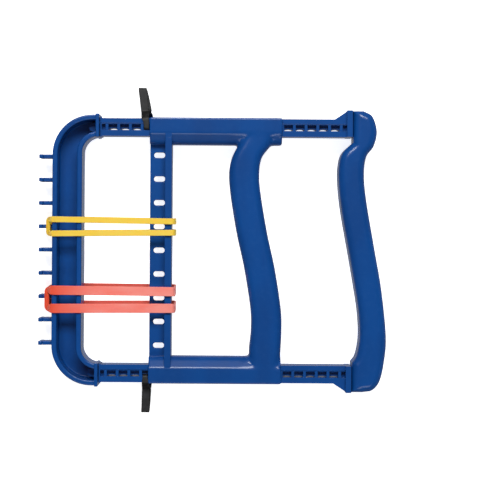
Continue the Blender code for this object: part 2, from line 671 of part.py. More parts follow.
def build():
    """Make every piece of the grip."""
    clear_scene()
    blue = make_material("blue_plastic", BLUE, 0.32)
    yellow = make_material("yellow_rubber", YELLOW, 0.55)
    salmon = make_material("salmon_rubber", SALMON, 0.55)
    black = make_material("black_rubber", BLACK, 0.6)
    steel = make_material("screw_steel", STEEL, 0.3, 1.0)
    frame = make_empty("frame_axis")
    slider = make_empty("slide_axis")

    add_piece("band_bow", make_bow(), blue, frame)
    inner_slot = RAIL_Y - SLOT_SHIFT
    outer_slot = RAIL_Y + SLOT_SHIFT
    add_piece("upper_rail", make_rail(inner_slot), blue, frame)
    add_piece("lower_rail", mirrored(make_rail(outer_slot)), blue, frame)
    add_piece("palm_handle_front", make_palm_half(True), blue, frame)
    add_piece("palm_handle_back", make_palm_half(False), blue, frame)
    add_piece("slider_frame", make_slider(), blue, slider)
    add_piece("finger_handle_back", make_cover(), blue, slider)

    screw = make_screw(PALM_SCREW_LENGTH)
    for number, (x, y) in enumerate(PALM_SCREWS, 1):
        place = (x * MM, y * MM, SCREW_SINK - HALF_DEPTH)
        add_piece(f"palm_handle_screw_{number}", screw, steel, frame, place)
    screw = make_screw(FINGER_SCREW_LENGTH)
    for number, (x, y) in enumerate(FINGER_SCREWS, 1):
        place = (x * MM, y * MM, SCREW_SINK - FINGER_HALF_DEPTH)
        add_piece(f"finger_handle_screw_{number}", screw, steel, slider, place)

    add_piece("upper_stop_loop", make_stop_loop(inner_slot, UPPER_TAIL_X), black, frame)
    add_piece("lower_stop_loop", mirrored(make_stop_loop(outer_slot, LOWER_TAIL_X)), black, frame)
    add_piece("yellow_band", make_band(YELLOW_PEG, YELLOW_WIDTH, YELLOW_SPREAD), yellow, frame)
    add_piece("red_band", make_band(RED_PEG, RED_WIDTH, RED_SPREAD), salmon, frame)


build()
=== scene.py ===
"""The looks of a hand grip strengthener, built around its fixed frame.

The grip lies on its back: +X runs from the band pegs to the palm handle, +Y along the handles and
+Z out of the front. Every piece is drawn in metres about the parting plane, halfway through the
depth, and is then lifted to its height, so that its object stays at the origin.
"""

import json
import logging
from dataclasses import dataclass, field
from enum import Enum
from math import ceil, cos, hypot, pi, radians, sin, tan

import bmesh
import bpy
import numpy as np
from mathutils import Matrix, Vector

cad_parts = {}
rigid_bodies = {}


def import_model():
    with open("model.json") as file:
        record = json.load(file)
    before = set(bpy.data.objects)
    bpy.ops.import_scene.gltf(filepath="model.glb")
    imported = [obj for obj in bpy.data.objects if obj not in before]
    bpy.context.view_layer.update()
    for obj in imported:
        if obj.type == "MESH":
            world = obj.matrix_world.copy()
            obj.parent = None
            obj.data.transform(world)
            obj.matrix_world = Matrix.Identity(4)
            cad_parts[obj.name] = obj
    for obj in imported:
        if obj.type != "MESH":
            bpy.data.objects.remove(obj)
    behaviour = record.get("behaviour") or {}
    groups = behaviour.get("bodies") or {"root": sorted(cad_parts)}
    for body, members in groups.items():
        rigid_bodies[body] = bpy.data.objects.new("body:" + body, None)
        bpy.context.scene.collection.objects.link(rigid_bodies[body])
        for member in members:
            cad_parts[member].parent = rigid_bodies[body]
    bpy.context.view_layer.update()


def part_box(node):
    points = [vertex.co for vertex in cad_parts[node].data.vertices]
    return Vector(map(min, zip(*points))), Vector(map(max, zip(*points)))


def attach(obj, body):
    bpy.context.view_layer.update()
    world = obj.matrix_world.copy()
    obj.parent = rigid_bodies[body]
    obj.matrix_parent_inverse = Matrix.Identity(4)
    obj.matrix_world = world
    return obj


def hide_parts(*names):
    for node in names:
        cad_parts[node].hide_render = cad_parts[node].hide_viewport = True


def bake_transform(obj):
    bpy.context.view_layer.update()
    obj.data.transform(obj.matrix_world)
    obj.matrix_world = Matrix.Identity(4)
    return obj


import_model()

LOG = logging.getLogger("grip")
MM = 0.001
GAP = 0.3 * MM
BOW_LOW, BOW_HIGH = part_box("band_bow")
PARTING_Z = (BOW_LOW.z + BOW_HIGH.z) / 2
HALF_DEPTH = (BOW_HIGH.z - BOW_LOW.z) / 2
RAIL_Y = 67.0 * MM              # the middle of each rail, up and down from the grip's middle
SLIVER = 0.02 * MM              # keeps two faces from lying in one plane
BEVEL_ANGLE = 0.5               # an edge that turns by less, in radians, isn't rounded
MITRE_LIMIT = 0.35              # holds back the sharp corners of an outline that is moved inwards
STRIP_EDGE = 0.25 * MM          # the radius of the bands' and the straps' long edges
SEAT_RADIUS = 3.0 * MM          # the round seat that a screw's head sinks into
SEAT_DEPTH = 2.6 * MM
SEAT_SINK = 0.5 * MM

Point = tuple[float, float]
Outline = list[Point]
Station = tuple[Vector, Vector, float]


class Body(Enum):
    """What a piece moves with: a rigid body, or neither, for a stretched piece that is left where it is
    drawn.
    """

    FRAME = "frame"
    SLIDER = "slider"
    STRETCHED = "stretched"


class Slot(Enum):
    """The record's material slots."""

    BLUE = "blue_plastic"
    YELLOW = "yellow_rubber"
    SALMON = "salmon_rubber"
    BLACK = "black_rubber"
    STEEL = "screw_steel"


class Side(Enum):
    """Which side of the middle a paired part is on."""

    UPPER = 1
    LOWER = -1


# where the stop straps pass through their rails
STRAP_X = -36.2 * MM
STRAP_Y = {Side.UPPER: 66.0 * MM, Side.LOWER: 68.1 * MM}


# ---------------------------------------------------------------- materials

def srgb(code: str) -> tuple[float, float, float, float]:
    """Turn a colour into linear light.

    Args:
        code: an sRGB colour as six hex digits.

    Returns:
        Its linear red, green, blue and an alpha of 1.
    """
    channels = [int(code[i:i + 2], 16) / 255 for i in (0, 2, 4)]
    linear = [c / 12.92 if c <= 0.04045 else ((c + 0.055) / 1.055) ** 2.4 for c in channels]
    return (*linear, 1.0)


def add_node(tree: bpy.types.NodeTree, kind: str, inputs: dict | None = None,
             **settings: object) -> bpy.types.Node:
    """Add a node with its settings, values and links.

    Args:
        tree: the tree that the node goes in.
        kind: the node's type name.
        inputs: a value, or an output socket to link, for each input's name or number.
        settings: the node's own properties.

    Returns:
        The new node.
    """
    node = tree.nodes.new(kind)
    for name, value in settings.items():
        setattr(node, name, value)
    for key, value in (inputs or {}).items():
        if isinstance(value, bpy.types.NodeSocket):
            tree.links.new(value, node.inputs[key])
        else:
            node.inputs[key].default_value = value
    return node


def new_material(name: str) -> tuple[bpy.types.Material, bpy.types.NodeTree, bpy.types.Node]:
    """Start a material.

    Args:
        name: the material's common name.

    Returns:
        The material, its emptied tree and its Principled shader.
    """
    material = bpy.data.materials.new(name)
    material.use_nodes = True
    tree = material.node_tree
    tree.nodes.clear()
    shader = add_node(tree, "ShaderNodeBsdfPrincipled")
    add_node(tree, "ShaderNodeOutputMaterial", {"Surface": shader.outputs["BSDF"]})
    return material, tree, shader


def noise(tree: bpy.types.NodeTree, size_mm: float, stretch: tuple[float, float, float] = (1, 1, 1),
          detail: float = 2.0) -> bpy.types.NodeSocket:
    """Noise in the piece's own coordinates.

    Args:
        tree: the material's tree.
        size_mm: the size of one blotch of the pattern.
        stretch: how many times longer the blotches are along each axis.
        detail: finer octaves on top.

    Returns:
        The noise's value, about a half.
    """
    coordinates = add_node(tree, "ShaderNodeTexCoord")
    scale = tuple(1 / (size_mm * MM * s) for s in stretch)
    mapping = add_node(tree, "ShaderNodeMapping",
                       {"Vector": coordinates.outputs["Object"], "Scale": scale})
    texture = add_node(tree, "ShaderNodeTexNoise",
                       {"Vector": mapping.outputs["Vector"], "Scale": 1.0, "Detail": detail})
    return texture.outputs["Fac"]


def between(tree: bpy.types.NodeTree, value: bpy.types.NodeSocket, low: float, high: float,
            start: float, end: float) -> bpy.types.NodeSocket:
    """Map a value from one range to another, and hold it at the ends.

    Args:
        tree: the material's tree.
        value: the value to map.
        low: the value that gives start.
        high: the value that gives end.
        start: the result at low.
        end: the result at high.

    Returns:
        The mapped value.
    """
    mapped = add_node(tree, "ShaderNodeMapRange", {"Value": value, "From Min": low, "From Max": high,
                                                   "To Min": start, "To Max": end})
    return mapped.outputs["Result"]


def mixed(tree: bpy.types.NodeTree, share: bpy.types.NodeSocket, first: object,
          second: object) -> bpy.types.NodeSocket:
    """Mix two colours, each a value or a socket.

    Args:
        tree: the material's tree.
        share: how much of the second one shows.
        first: the colour at 0.
        second: the colour at 1.

    Returns:
        The mixed colour.
    """
    node = add_node(tree, "ShaderNodeMix", {0: share, 6: first, 7: second}, data_type="RGBA")
    return node.outputs[2]


def times(tree: bpy.types.NodeTree, first: bpy.types.NodeSocket,
          second: bpy.types.NodeSocket) -> bpy.types.NodeSocket:
    """Multiply two values."""
    return add_node(tree, "ShaderNodeMath", {0: first, 1: second}, operation="MULTIPLY").outputs[0]


@dataclass(frozen=True)
class MouldedPolypropylene:
    """Injection-moulded polypropylene, coloured through: a waxy semi-gloss skin with a fine
    spark-eroded grain, faint flow clouds, and patches rubbed a little paler."""

    name: str
    base: str
    deep: str
    worn: str
    roughness: float
    grain_mm: float = 0.7           # the real grain is nearer 0.1 mm, which would not show
    flow_mm: float = 16.0
    scuff_mm: float = 3.0
    rubbed: float = 0.02            # how far the rubbed patches go towards the worn colour

    def material(self) -> bpy.types.Material:
        """Build the material."""
        material, tree, shader = new_material(self.name)
        grain = noise(tree, self.grain_mm, detail=3.0)
        flow = noise(tree, self.flow_mm, (1, 2.5, 1))
        scuff = noise(tree, self.scuff_mm, detail=4.0)
        colour = mixed(tree, between(tree, flow, 0.35, 0.65, 0.0, 1.0), srgb(self.base), srgb(self.deep))
        colour = mixed(tree, between(tree, scuff, 0.5, 0.75, 0.0, self.rubbed), colour, srgb(self.worn))
        tree.links.new(colour, shader.inputs["Base Color"])
        tree.links.new(between(tree, flow, 0.3, 0.7, self.roughness - 0.01, self.roughness + 0.02),
                       shader.inputs["Roughness"])
        bump = add_node(tree, "ShaderNodeBump", {"Strength": 0.05, "Distance": 0.06 * MM, "Height": grain})
        tree.links.new(bump.outputs["Normal"], shader.inputs["Normal"])
        shader.inputs["IOR"].default_value = 1.49
        return material


@dataclass(frozen=True)
class LatexRubber:
    """Natural latex cut from sheet: matt and slightly translucent, with a pale bloom, fine draw lines
    along its length and a deeper colour where it is slack round the peg; its far layer, behind the
    parting plane, is darkened with painted shade."""

    name: str
    base: str
    bloom: str
    slack: str
    # the colour of the painted shade on the far layer behind the parting plane
    painted_shade: str
    slack_x: float
    taut_x: float
    speck_mm: float = 1.1
    line_mm: float = 0.35           # the real lines are finer, and drawn as coarse as they show
    cloud_mm: float = 7.0
    # the painted shade is full at and below this height and fades out up to the parting plane
    full_shade_z: float = 0.2 * PARTING_Z

    def material(self) -> bpy.types.Material:
        """Build the material."""
        material, tree, shader = new_material(self.name)
        coordinates = add_node(tree, "ShaderNodeTexCoord")
        along = add_node(tree, "ShaderNodeSeparateXYZ", {0: coordinates.outputs["Object"]})
        stretch = between(tree, along.outputs["X"], self.slack_x, self.taut_x, 1.0, 0.0)
        specks = noise(tree, self.speck_mm, detail=4.0)
        lines = noise(tree, self.line_mm, (30, 1, 1))
        clouds = noise(tree, self.cloud_mm, (2.5, 1, 1))
        cloudy = between(tree, clouds, 0.35, 0.65, 0.0, 0.55)
        colour = mixed(tree, cloudy, srgb(self.base), srgb(self.bloom))
        colour = mixed(tree, between(tree, specks, 0.55, 0.75, 0.0, 0.35), colour, srgb(self.bloom))
        colour = mixed(tree, stretch, colour, srgb(self.slack))
        # painted shade: the far layer, behind the parting plane, is darkened towards the painted shade
        # colour
        shade_share = between(tree, along.outputs["Z"], self.full_shade_z, PARTING_Z, 1.0, 0.0)
        colour = mixed(tree, shade_share, colour, srgb(self.painted_shade))
        tree.links.new(colour, shader.inputs["Base Color"])
        tree.links.new(between(tree, specks, 0.3, 0.7, 0.48, 0.62), shader.inputs["Roughness"])
        height = add_node(tree, "ShaderNodeMath", {0: specks, 1: lines}, operation="ADD").outputs[0]
        bump = add_node(tree, "ShaderNodeBump", {"Strength": 0.25, "Distance": 0.06 * MM, "Height": height})
        tree.links.new(bump.outputs["Normal"], shader.inputs["Normal"])
        shader.inputs["IOR"].default_value = 1.52
        shader.inputs["Subsurface Weight"].default_value = 0.18
        shader.inputs["Subsurface Scale"].default_value = 0.8 * MM
        shader.inputs["Subsurface Radius"].default_value = (1.0, 0.5, 0.25)
        shader.inputs["Sheen Weight"].default_value = 0.05
        return material


@dataclass(frozen=True)
class MouldedRubber:
    """Black moulded rubber: nearly matt, dusty in patches, with a fine drag texture."""

    name: str = "moulded EPDM rubber, black"
    base: str = "080807"
    dust: str = "2A2A2D"
    speck_mm: float = 0.9
    cloud_mm: float = 5.0

    def material(self) -> bpy.types.Material:
        """Build the material."""
        material, tree, shader = new_material(self.name)
        specks = noise(tree, self.speck_mm, (1, 3, 1), 4.0)
        clouds = noise(tree, self.cloud_mm)
        patches = between(tree, clouds, 0.4, 0.62, 0.0, 1.0)
        dust = times(tree, patches, between(tree, specks, 0.4, 0.65, 0.1, 0.8))
        tree.links.new(mixed(tree, dust, srgb(self.base), srgb(self.dust)), shader.inputs["Base Color"])
        tree.links.new(between(tree, specks, 0.3, 0.7, 0.5, 0.7), shader.inputs["Roughness"])
        bump = add_node(tree, "ShaderNodeBump", {"Strength": 0.3, "Distance": 0.08 * MM, "Height": specks})
        tree.links.new(bump.outputs["Normal"], shader.inputs["Normal"])
        shader.inputs["IOR"].default_value = 1.52
        return material


@dataclass(frozen=True)
class ZincPlatedSteel:
    """Bright zinc-plated steel: satin metal, faintly mottled by the bath."""

    name: str = "zinc-plated steel"
    base: str = "B4B7BA"
    deep: str = "8F949A"
    mottle_mm: float = 0.6

    def material(self) -> bpy.types.Material:
        """Build the material."""
        material, tree, shader = new_material(self.name)
        mottle = noise(tree, self.mottle_mm, detail=4.0)
        colour = mixed(tree, between(tree, mottle, 0.4, 0.6, 0.0, 1.0), srgb(self.base), srgb(self.deep))
        tree.links.new(colour, shader.inputs["Base Color"])
        tree.links.new(between(tree, mottle, 0.3, 0.7, 0.26, 0.42), shader.inputs["Roughness"])
        shader.inputs["Metallic"].default_value = 1.0
        bump = add_node(tree, "ShaderNodeBump", {"Strength": 0.15, "Distance": 0.03 * MM, "Height": mottle})
        tree.links.new(bump.outputs["Normal"], shader.inputs["Normal"])
        return material


@dataclass(frozen=True)
class CoatedPaper:
    """White coated paper, lit through from behind like a light table."""

    name: str = "white coated paper"
    base: str = "FFFFFD"
    glow: float = 0.85
    tooth_mm: float = 4.0

    def material(self) -> bpy.types.Material:
        """Build the material."""
        material, tree, shader = new_material(self.name)
        tooth = noise(tree, self.tooth_mm)
        tree.links.new(between(tree, tooth, 0.3, 0.7, 0.75, 0.85), shader.inputs["Roughness"])
        shader.inputs["Base Color"].default_value = srgb(self.base)
        shader.inputs["Emission Color"].default_value = srgb(self.base)
        shader.inputs["Emission Strength"].default_value = self.glow
        return material


# ---------------------------------------------------------------- mesh work

def worked(mesh: bpy.types.Mesh, kind: str, **settings: object) -> bpy.types.Mesh:
    """Work a mesh with one modifier.

    Args:
        mesh: the mesh to work.
        kind: the modifier's type.
        settings: the modifier's properties.

    Returns:
        The evaluated result, as a plain mesh.
    """
    thing = bpy.data.objects.new("work", mesh)
    bpy.context.scene.collection.objects.link(thing)
    modifier = thing.modifiers.new(kind.lower(), kind)
    for name, value in settings.items():
        setattr(modifier, name, value)
    evaluated = thing.evaluated_get(bpy.context.evaluated_depsgraph_get())
    result = bpy.data.meshes.new_from_object(evaluated)
    bpy.data.objects.remove(thing)
    return result


def combined(mesh: bpy.types.Mesh, other: bpy.types.Mesh, operation: str = "DIFFERENCE") -> bpy.types.Mesh:
    """Cut a mesh by another, join them or keep what they share.

    Args:
        mesh: the mesh to work.
        other: the tool.
        operation: DIFFERENCE, UNION or INTERSECT.

    Returns:
        The result.
    """
    tool = bpy.data.objects.new("tool", other)
    bpy.context.scene.collection.objects.link(tool)
    result = worked(mesh, "BOOLEAN", operation=operation, solver="EXACT", object=tool)
    bpy.data.objects.remove(tool)
    return result


def union(first: bpy.types.Mesh, *others: bpy.types.Mesh) -> bpy.types.Mesh:
    """Join meshes that overlap into one."""
    for other in others:
        first = combined(first, other, "UNION")
    return first


def softened(mesh: bpy.types.Mesh, width: float, segments: int = 2) -> bpy.types.Mesh:
    """Round a mesh's edges, outer and inner ones alike."""
    return worked(mesh, "BEVEL", width=width, segments=segments, limit_method="ANGLE",
                  angle_limit=BEVEL_ANGLE)


def to_mesh(shape: bmesh.types.BMesh) -> bpy.types.Mesh:
    """Point all faces outwards and turn the bmesh into a mesh."""
    bmesh.ops.recalc_face_normals(shape, faces=shape.faces)
    mesh = bpy.data.meshes.new("shape")
    shape.to_mesh(mesh)
    shape.free()
    return mesh


def skin(rings: list[list[Vector]], closed: bool = False) -> bpy.types.Mesh:
    """Draw a surface over rings of points.

    Args:
        rings: rings with the same number of points each.
        closed: whether the last ring meets the first. If not, both ends are capped.

    Returns:
        The closed mesh.
    """
    shape = bmesh.new()
    rows = [[shape.verts.new(point) for point in ring] for ring in rings]
    pairs = list(zip(rows, rows[1:])) + ([(rows[-1], rows[0])] if closed else [])
    for lower, upper in pairs:
        for i in range(len(lower)):
            shape.faces.new((lower[i - 1], lower[i], upper[i], upper[i - 1]))
    if not closed:
        shape.faces.new(rows[0])
        shape.faces.new(rows[-1])
    return to_mesh(shape)


def merged(meshes: list[bpy.types.Mesh]) -> bpy.types.Mesh:
    """Put meshes that stay clear of each other into one."""
    shape = bmesh.new()
    for mesh in meshes:
        shape.from_mesh(mesh)
    return to_mesh(shape)


def flipped(mesh: bpy.types.Mesh) -> bpy.types.Mesh:
    """A copy of a mesh mirrored to the other side of the middle."""
    shape = bmesh.new()
    shape.from_mesh(mesh)
    for vertex in shape.verts:
        vertex.co.y = -vertex.co.y
    bmesh.ops.reverse_faces(shape, faces=shape.faces)
    return to_mesh(shape)


def arc(cx: float, cy: float, radius: float, start: float, end: float, steps: int) -> Outline:
    """Points on an arc, angles in quarter turns."""
    angles = [(start + (end - start) * i / steps) * pi / 2 for i in range(steps + 1)]
    return [(cx + radius * cos(a), cy + radius * sin(a)) for a in angles]


def smooth_path(knots: tuple[Point, ...], steps: int) -> Outline:
    """Points on a smooth curve.

    Args:
        knots: points that the curve passes, in millimetres.
        steps: points for each stretch between two knots.

    Returns:
        The curve's points, in metres.
    """
    points = [Vector(knot) * MM for knot in knots]
    padded = [2 * points[0] - points[1]] + points + [2 * points[-1] - points[-2]]
    path = []
    for a, b, c, d in zip(padded, padded[1:], padded[2:], padded[3:]):
        for i in range(steps):
            t = i / steps
            path.append(0.5 * (2 * b + (c - a) * t + (2 * a - 5 * b + 4 * c - d) * t ** 2
                               + (3 * b - a - 3 * c + d) * t ** 3))
    return [(p.x, p.y) for p in path + [points[-1]]]


def inset(outline: Outline, distance: float) -> Outline:
    """Move every side of an outline inwards."""
    count = len(outline)
    points = [Vector(p) for p in outline]
    area = sum(points[i - 1].cross(points[i]) for i in range(count))
    side = 1 if area > 0 else -1
    moved = []
    for i, point in enumerate(points):
        before = (point - points[i - 1]).normalized()
        after = (points[(i + 1) % count] - point).normalized()
        bisector = Vector((-(before.y + after.y), before.x + after.x)).normalized()
        stretch = max(MITRE_LIMIT, bisector.dot(Vector((-before.y, before.x))))
        moved.append(tuple(point + bisector * side * distance / stretch))
    return moved


def narrowed(outline: Outline, distance: float) -> Outline:
    """Move the two long sides of a handle inwards, and leave its ends where they are."""
    half = len(outline) // 2
    moved = []
    for side, way in ((outline[:half], -1), (outline[half:], 1)):
        for i, (x, y) in enumerate(side):
            x0, y0 = side[max(0, i - 1)]
            x1, y1 = side[min(half - 1, i + 1)]
            lean = hypot(x1 - x0, y1 - y0) / abs(y1 - y0)
            moved.append((x + way * distance * lean, y))
    return moved


def prism(outline: Outline, low: float, high: float, low_edge: float = 0.0, high_edge: float = 0.0,
          steps: int = 8, shrink: object = inset) -> bpy.types.Mesh:
    """A solid of an outline, with rounded edges where asked.

    Args:
        outline: the outline in X and Y.
        low: its lower height.
        high: its upper height.
        low_edge: radius of its lower edge.
        high_edge: radius of its upper edge.
        steps: facets across a rounded edge.
        shrink: how the outline is drawn in over a rounded edge.

    Returns:
        The closed mesh.
    """
    levels = []
    if low_edge:
        for i in range(steps):
            turn = pi / 2 * i / steps
            levels.append((low_edge * (1 - sin(turn)), low + low_edge * (1 - cos(turn))))
    levels.append((0.0, low + low_edge))
    levels.append((0.0, high - high_edge))
    if high_edge:
        for i in range(1, steps + 1):
            turn = pi / 2 * i / steps
            levels.append((high_edge * (1 - cos(turn)), high - high_edge * (1 - sin(turn))))
    rings = []
    for distance, height in levels:
        points = shrink(outline, distance) if distance else outline
        rings.append([Vector((x, y, height)) for x, y in points])
    return skin(rings)


def block(x_range: Point, y_range: Point, z_range: Point) -> bpy.types.Mesh:
    """A box between limits, as a tool or as the start of a piece."""
    corners = [(x_range[0], y_range[0]), (x_range[1], y_range[0]),
               (x_range[1], y_range[1]), (x_range[0], y_range[1])]
    return prism(corners, *z_range)


def disc(x: float, y: float, radius: float, z_range: Point, sides: int = 32) -> bpy.types.Mesh:
    """An upright round tool."""
    return prism(arc(x, y, radius, 0, 4, sides)[:-1], *z_range)


def side_at(path: Outline, y: float) -> float:
    """Where a side path crosses the given height."""
    for (x0, y0), (x1, y1) in zip(path, path[1:]):
        if (y0 - y) * (y1 - y) <= 0 and y0 != y1:
            return x0 + (x1 - x0) * (y - y0) / (y1 - y0)
    return path[-1][0]


def share(value: float, start: float, end: float) -> float:
    """How far a value has come from start to end, held between 0 and 1."""
    return min(1.0, max(0.0, (value - start) / (end - start)))


def eased(part: float) -> float:
    """A share that leaves 0 and reaches 1 gently."""
    return part * part * (3 - 2 * part)


def sweep(strip: list[Station], thickness: float) -> bpy.types.Mesh:
    """A closed loop of flat strip with rounded edges.

    Args:
        strip: the middle of the strip, point by point: its place, the way that its flat side faces
            there and its width there.
        thickness: its thickness.

    Returns:
        The closed mesh.
    """
    rise = thickness / 2 - STRIP_EDGE
    steps = 4
    rings = []
    for i, (point, facing, width) in enumerate(strip):
        tangent = (strip[(i + 1) % len(strip)][0] - strip[i - 1][0]).normalized()
        normal = (facing - tangent * facing.dot(tangent)).normalized()
        across = tangent.cross(normal)
        half = width / 2 - STRIP_EDGE
        section = (arc(half, rise, STRIP_EDGE, 0, 1, steps) + arc(-half, rise, STRIP_EDGE, 1, 2, steps)
                   + arc(-half, -rise, STRIP_EDGE, 2, 3, steps) + arc(half, -rise, STRIP_EDGE, 3, 4, steps))
        rings.append([point + across * u + normal * v for u, v in section])
    return skin(rings, closed=True)


def positions(mesh: bpy.types.Mesh) -> np.ndarray:
    """The places of a mesh's points, one row each."""
    points = np.empty(len(mesh.vertices) * 3)
    mesh.vertices.foreach_get("co", points)
    return points.reshape(-1, 3)


def relaxed(mesh: bpy.types.Mesh, strength: np.ndarray, rounds: int) -> bpy.types.Mesh:
    """Smooth a mesh in place, some points more than others.

    Args:
        mesh: the mesh.
        strength: how far each point moves towards its neighbours' middle, from 0 to 1.
        rounds: how often.

    Returns:
        The same mesh.
    """
    count = len(mesh.vertices)
    points = positions(mesh)
    edges = np.empty(len(mesh.edges) * 2, int)
    mesh.edges.foreach_get("vertices", edges)
    ends = np.concatenate((edges[0::2], edges[1::2]))
    others = np.concatenate((edges[1::2], edges[0::2]))
    degree = np.maximum(1, np.bincount(ends, minlength=count))
    for _ in range(rounds):
        sums = [np.bincount(ends, points[others, axis], count) for axis in range(3)]
        middle = np.stack(sums, 1) / degree[:, None]
        points += (middle - points) * strength[:, None]
    mesh.vertices.foreach_set("co", points.ravel())
    mesh.update()
    return mesh


# ---------------------------------------------------------------- repeats

def start_tree(name: str, inputs: dict[str, str]) -> tuple[bpy.types.NodeTree, bpy.types.Node]:
    """Start a Geometry Nodes tree.

    Args:
        name: the tree's name.
        inputs: the type of each named input.

    Returns:
        The tree and its group input node.
    """
    tree = bpy.data.node_groups.new(name, "GeometryNodeTree")
    for label, kind in inputs.items():
        tree.interface.new_socket(name=label, in_out="INPUT", socket_type=kind)
    tree.interface.new_socket(name="Result", in_out="OUTPUT", socket_type="NodeSocketGeometry")
    return tree, add_node(tree, "NodeGroupInput")


def end_tree(tree: bpy.types.NodeTree, points: bpy.types.NodeSocket, given: bpy.types.Node) -> None:
    """Set the unit on the points, make the copies real and give them their material."""
    copies = add_node(tree, "GeometryNodeInstanceOnPoints",
                      {"Points": points, "Instance": given.outputs["Unit"]})
    real = add_node(tree, "GeometryNodeRealizeInstances", {"Geometry": copies.outputs["Instances"]})
    dressed = add_node(tree, "GeometryNodeSetMaterial",
                       {"Geometry": real.outputs["Geometry"], "Material": given.outputs["Finish"]})
    add_node(tree, "NodeGroupOutput", {"Result": dressed.outputs["Geometry"]})


def row_tree() -> bpy.types.NodeTree:
    """A tree that repeats the unit along a straight line."""
    tree, given = start_tree("row", {"Unit": "NodeSocketGeometry", "Count": "NodeSocketInt",
                                     "Start": "NodeSocketVector", "Step": "NodeSocketVector",
                                     "Finish": "NodeSocketMaterial"})
    line = add_node(tree, "GeometryNodeMeshLine", {"Count": given.outputs["Count"],
                                                   "Start Location": given.outputs["Start"],
                                                   "Offset": given.outputs["Step"]})
    end_tree(tree, line.outputs["Mesh"], given)
    return tree


def places_tree() -> bpy.types.NodeTree:
    """A tree that sets the unit at each point of another object."""
    tree, given = start_tree("places", {"Unit": "NodeSocketGeometry", "Places": "NodeSocketObject",
                                        "Finish": "NodeSocketMaterial"})
    points = add_node(tree, "GeometryNodeObjectInfo", {"Object": given.outputs["Places"]})
    end_tree(tree, points.outputs["Geometry"], given)
    return tree


def repeated(unit: bpy.types.Mesh, tree: bpy.types.NodeTree, **inputs: object) -> bpy.types.Mesh:
    """Run a repeating tree on a unit.

    Args:
        unit: the mesh that repeats.
        tree: the tree.
        inputs: values for the tree's named inputs.

    Returns:
        The real copies, as one plain mesh.
    """
    thing = bpy.data.objects.new("repeat", unit)
    modifier = thing.modifiers.new("repeat", "NODES")
    modifier.node_group = tree
    for item in tree.interface.items_tree:
        if item.in_out == "INPUT" and item.name in inputs:
            modifier[item.identifier] = inputs[item.name]
    bpy.context.scene.collection.objects.link(thing)
    evaluated = thing.evaluated_get(bpy.context.evaluated_depsgraph_get())
    result = bpy.data.meshes.new_from_object(evaluated)
    bpy.data.objects.remove(thing)
    return result


def at_places(unit: bpy.types.Mesh, tree: bpy.types.NodeTree, places: list[tuple[float, float, float]],
              finish: bpy.types.Material) -> bpy.types.Mesh:
    """Set a unit at given places.

    Args:
        unit: the mesh that repeats.
        tree: the tree made by places_tree.
        places: where each copy goes.
        finish: the copies' material.

    Returns:
        The copies, as one mesh.
    """
    points = bpy.data.meshes.new("places")
    points.from_pydata(places, [], [])
    marker = bpy.data.objects.new("places", points)
    bpy.context.scene.collection.objects.link(marker)
    result = repeated(unit, tree, Places=marker, Finish=finish)
    bpy.data.objects.remove(marker)
    return result


@dataclass
class Workshop:
    """What every sub-assembly shares: the finishes, the repeating trees and the way pieces are added."""

    finishes: dict[Slot, bpy.types.Material]
    row: bpy.types.NodeTree
    places: bpy.types.NodeTree
    stretch_from: float = BOW_LOW.x + 7.6 * MM
    stretch_to: float = -22.0 * MM

    def add(self, name: str, mesh: bpy.types.Mesh, body: Body, slot: Slot, nodes: tuple[str, ...],
            crease: float = 0.7, weighted: bool = True) -> bpy.types.Object:
        """Make a finished piece of a mesh and attach it to its rigid body; a stretched piece is left where
        it is drawn.

        Args:
            name: the piece's name.
            mesh: its mesh, drawn about the parting plane.
            body: what it moves with.
            slot: the record's slot that it takes its finish from.
            nodes: the CAD nodes that it stands for.
            crease: the angle past which an edge is sharp.
            weighted: whether large faces keep their own normals.

        Returns:
            The piece.
        """
        for vertex in mesh.vertices:
            vertex.co.z += PARTING_Z
        mesh.materials.clear()
        mesh.materials.append(self.finishes[slot])
        mesh.shade_smooth()
        mesh.set_sharp_from_angle(angle=crease)
        mesh.name = name
        piece = bpy.data.objects.new(name, mesh)
        bpy.context.scene.collection.objects.link(piece)
        if weighted:
            normals = piece.modifiers.new("normals", "WEIGHTED_NORMAL")
            normals.keep_sharp = True
        if body is Body.STRETCHED:
            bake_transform(piece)
        else:
            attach(piece, body.value)
        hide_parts(*nodes)
        LOG.info("%s: %d faces, on %s", name, len(mesh.polygons), body.value)
        return piece

    def add_screws(self, name: str, length: float, spots: tuple[Point, ...], back: float,
                   body: Body) -> None:
        """Set screws into the seats of a back face, all as one piece.

        Args:
            name: what the screws' nodes are called, before their numbers.
            length: their length.
            spots: where they are in X and Y, in millimetres.
            back: the height of the back face.
            body: what they move with.
        """
        places = [(x * MM, y * MM, back + SEAT_SINK) for x, y in spots]
        screws = at_places(Screw(length).mesh(), self.places, places, self.finishes[Slot.STEEL])
        nodes = tuple(f"{name}_{number}" for number in range(1, len(spots) + 1))
        self.add(f"{name}s", screws, body, Slot.STEEL, nodes)


# ---------------------------------------------------------------- the grip

def screw_seats(spots: tuple[Point, ...], back: float) -> bpy.types.Mesh:
    """Tools for the seats of the screws in a back face."""
    return merged([disc(x * MM, y * MM, SEAT_RADIUS, (back - MM, back + SEAT_DEPTH)) for x, y in spots])


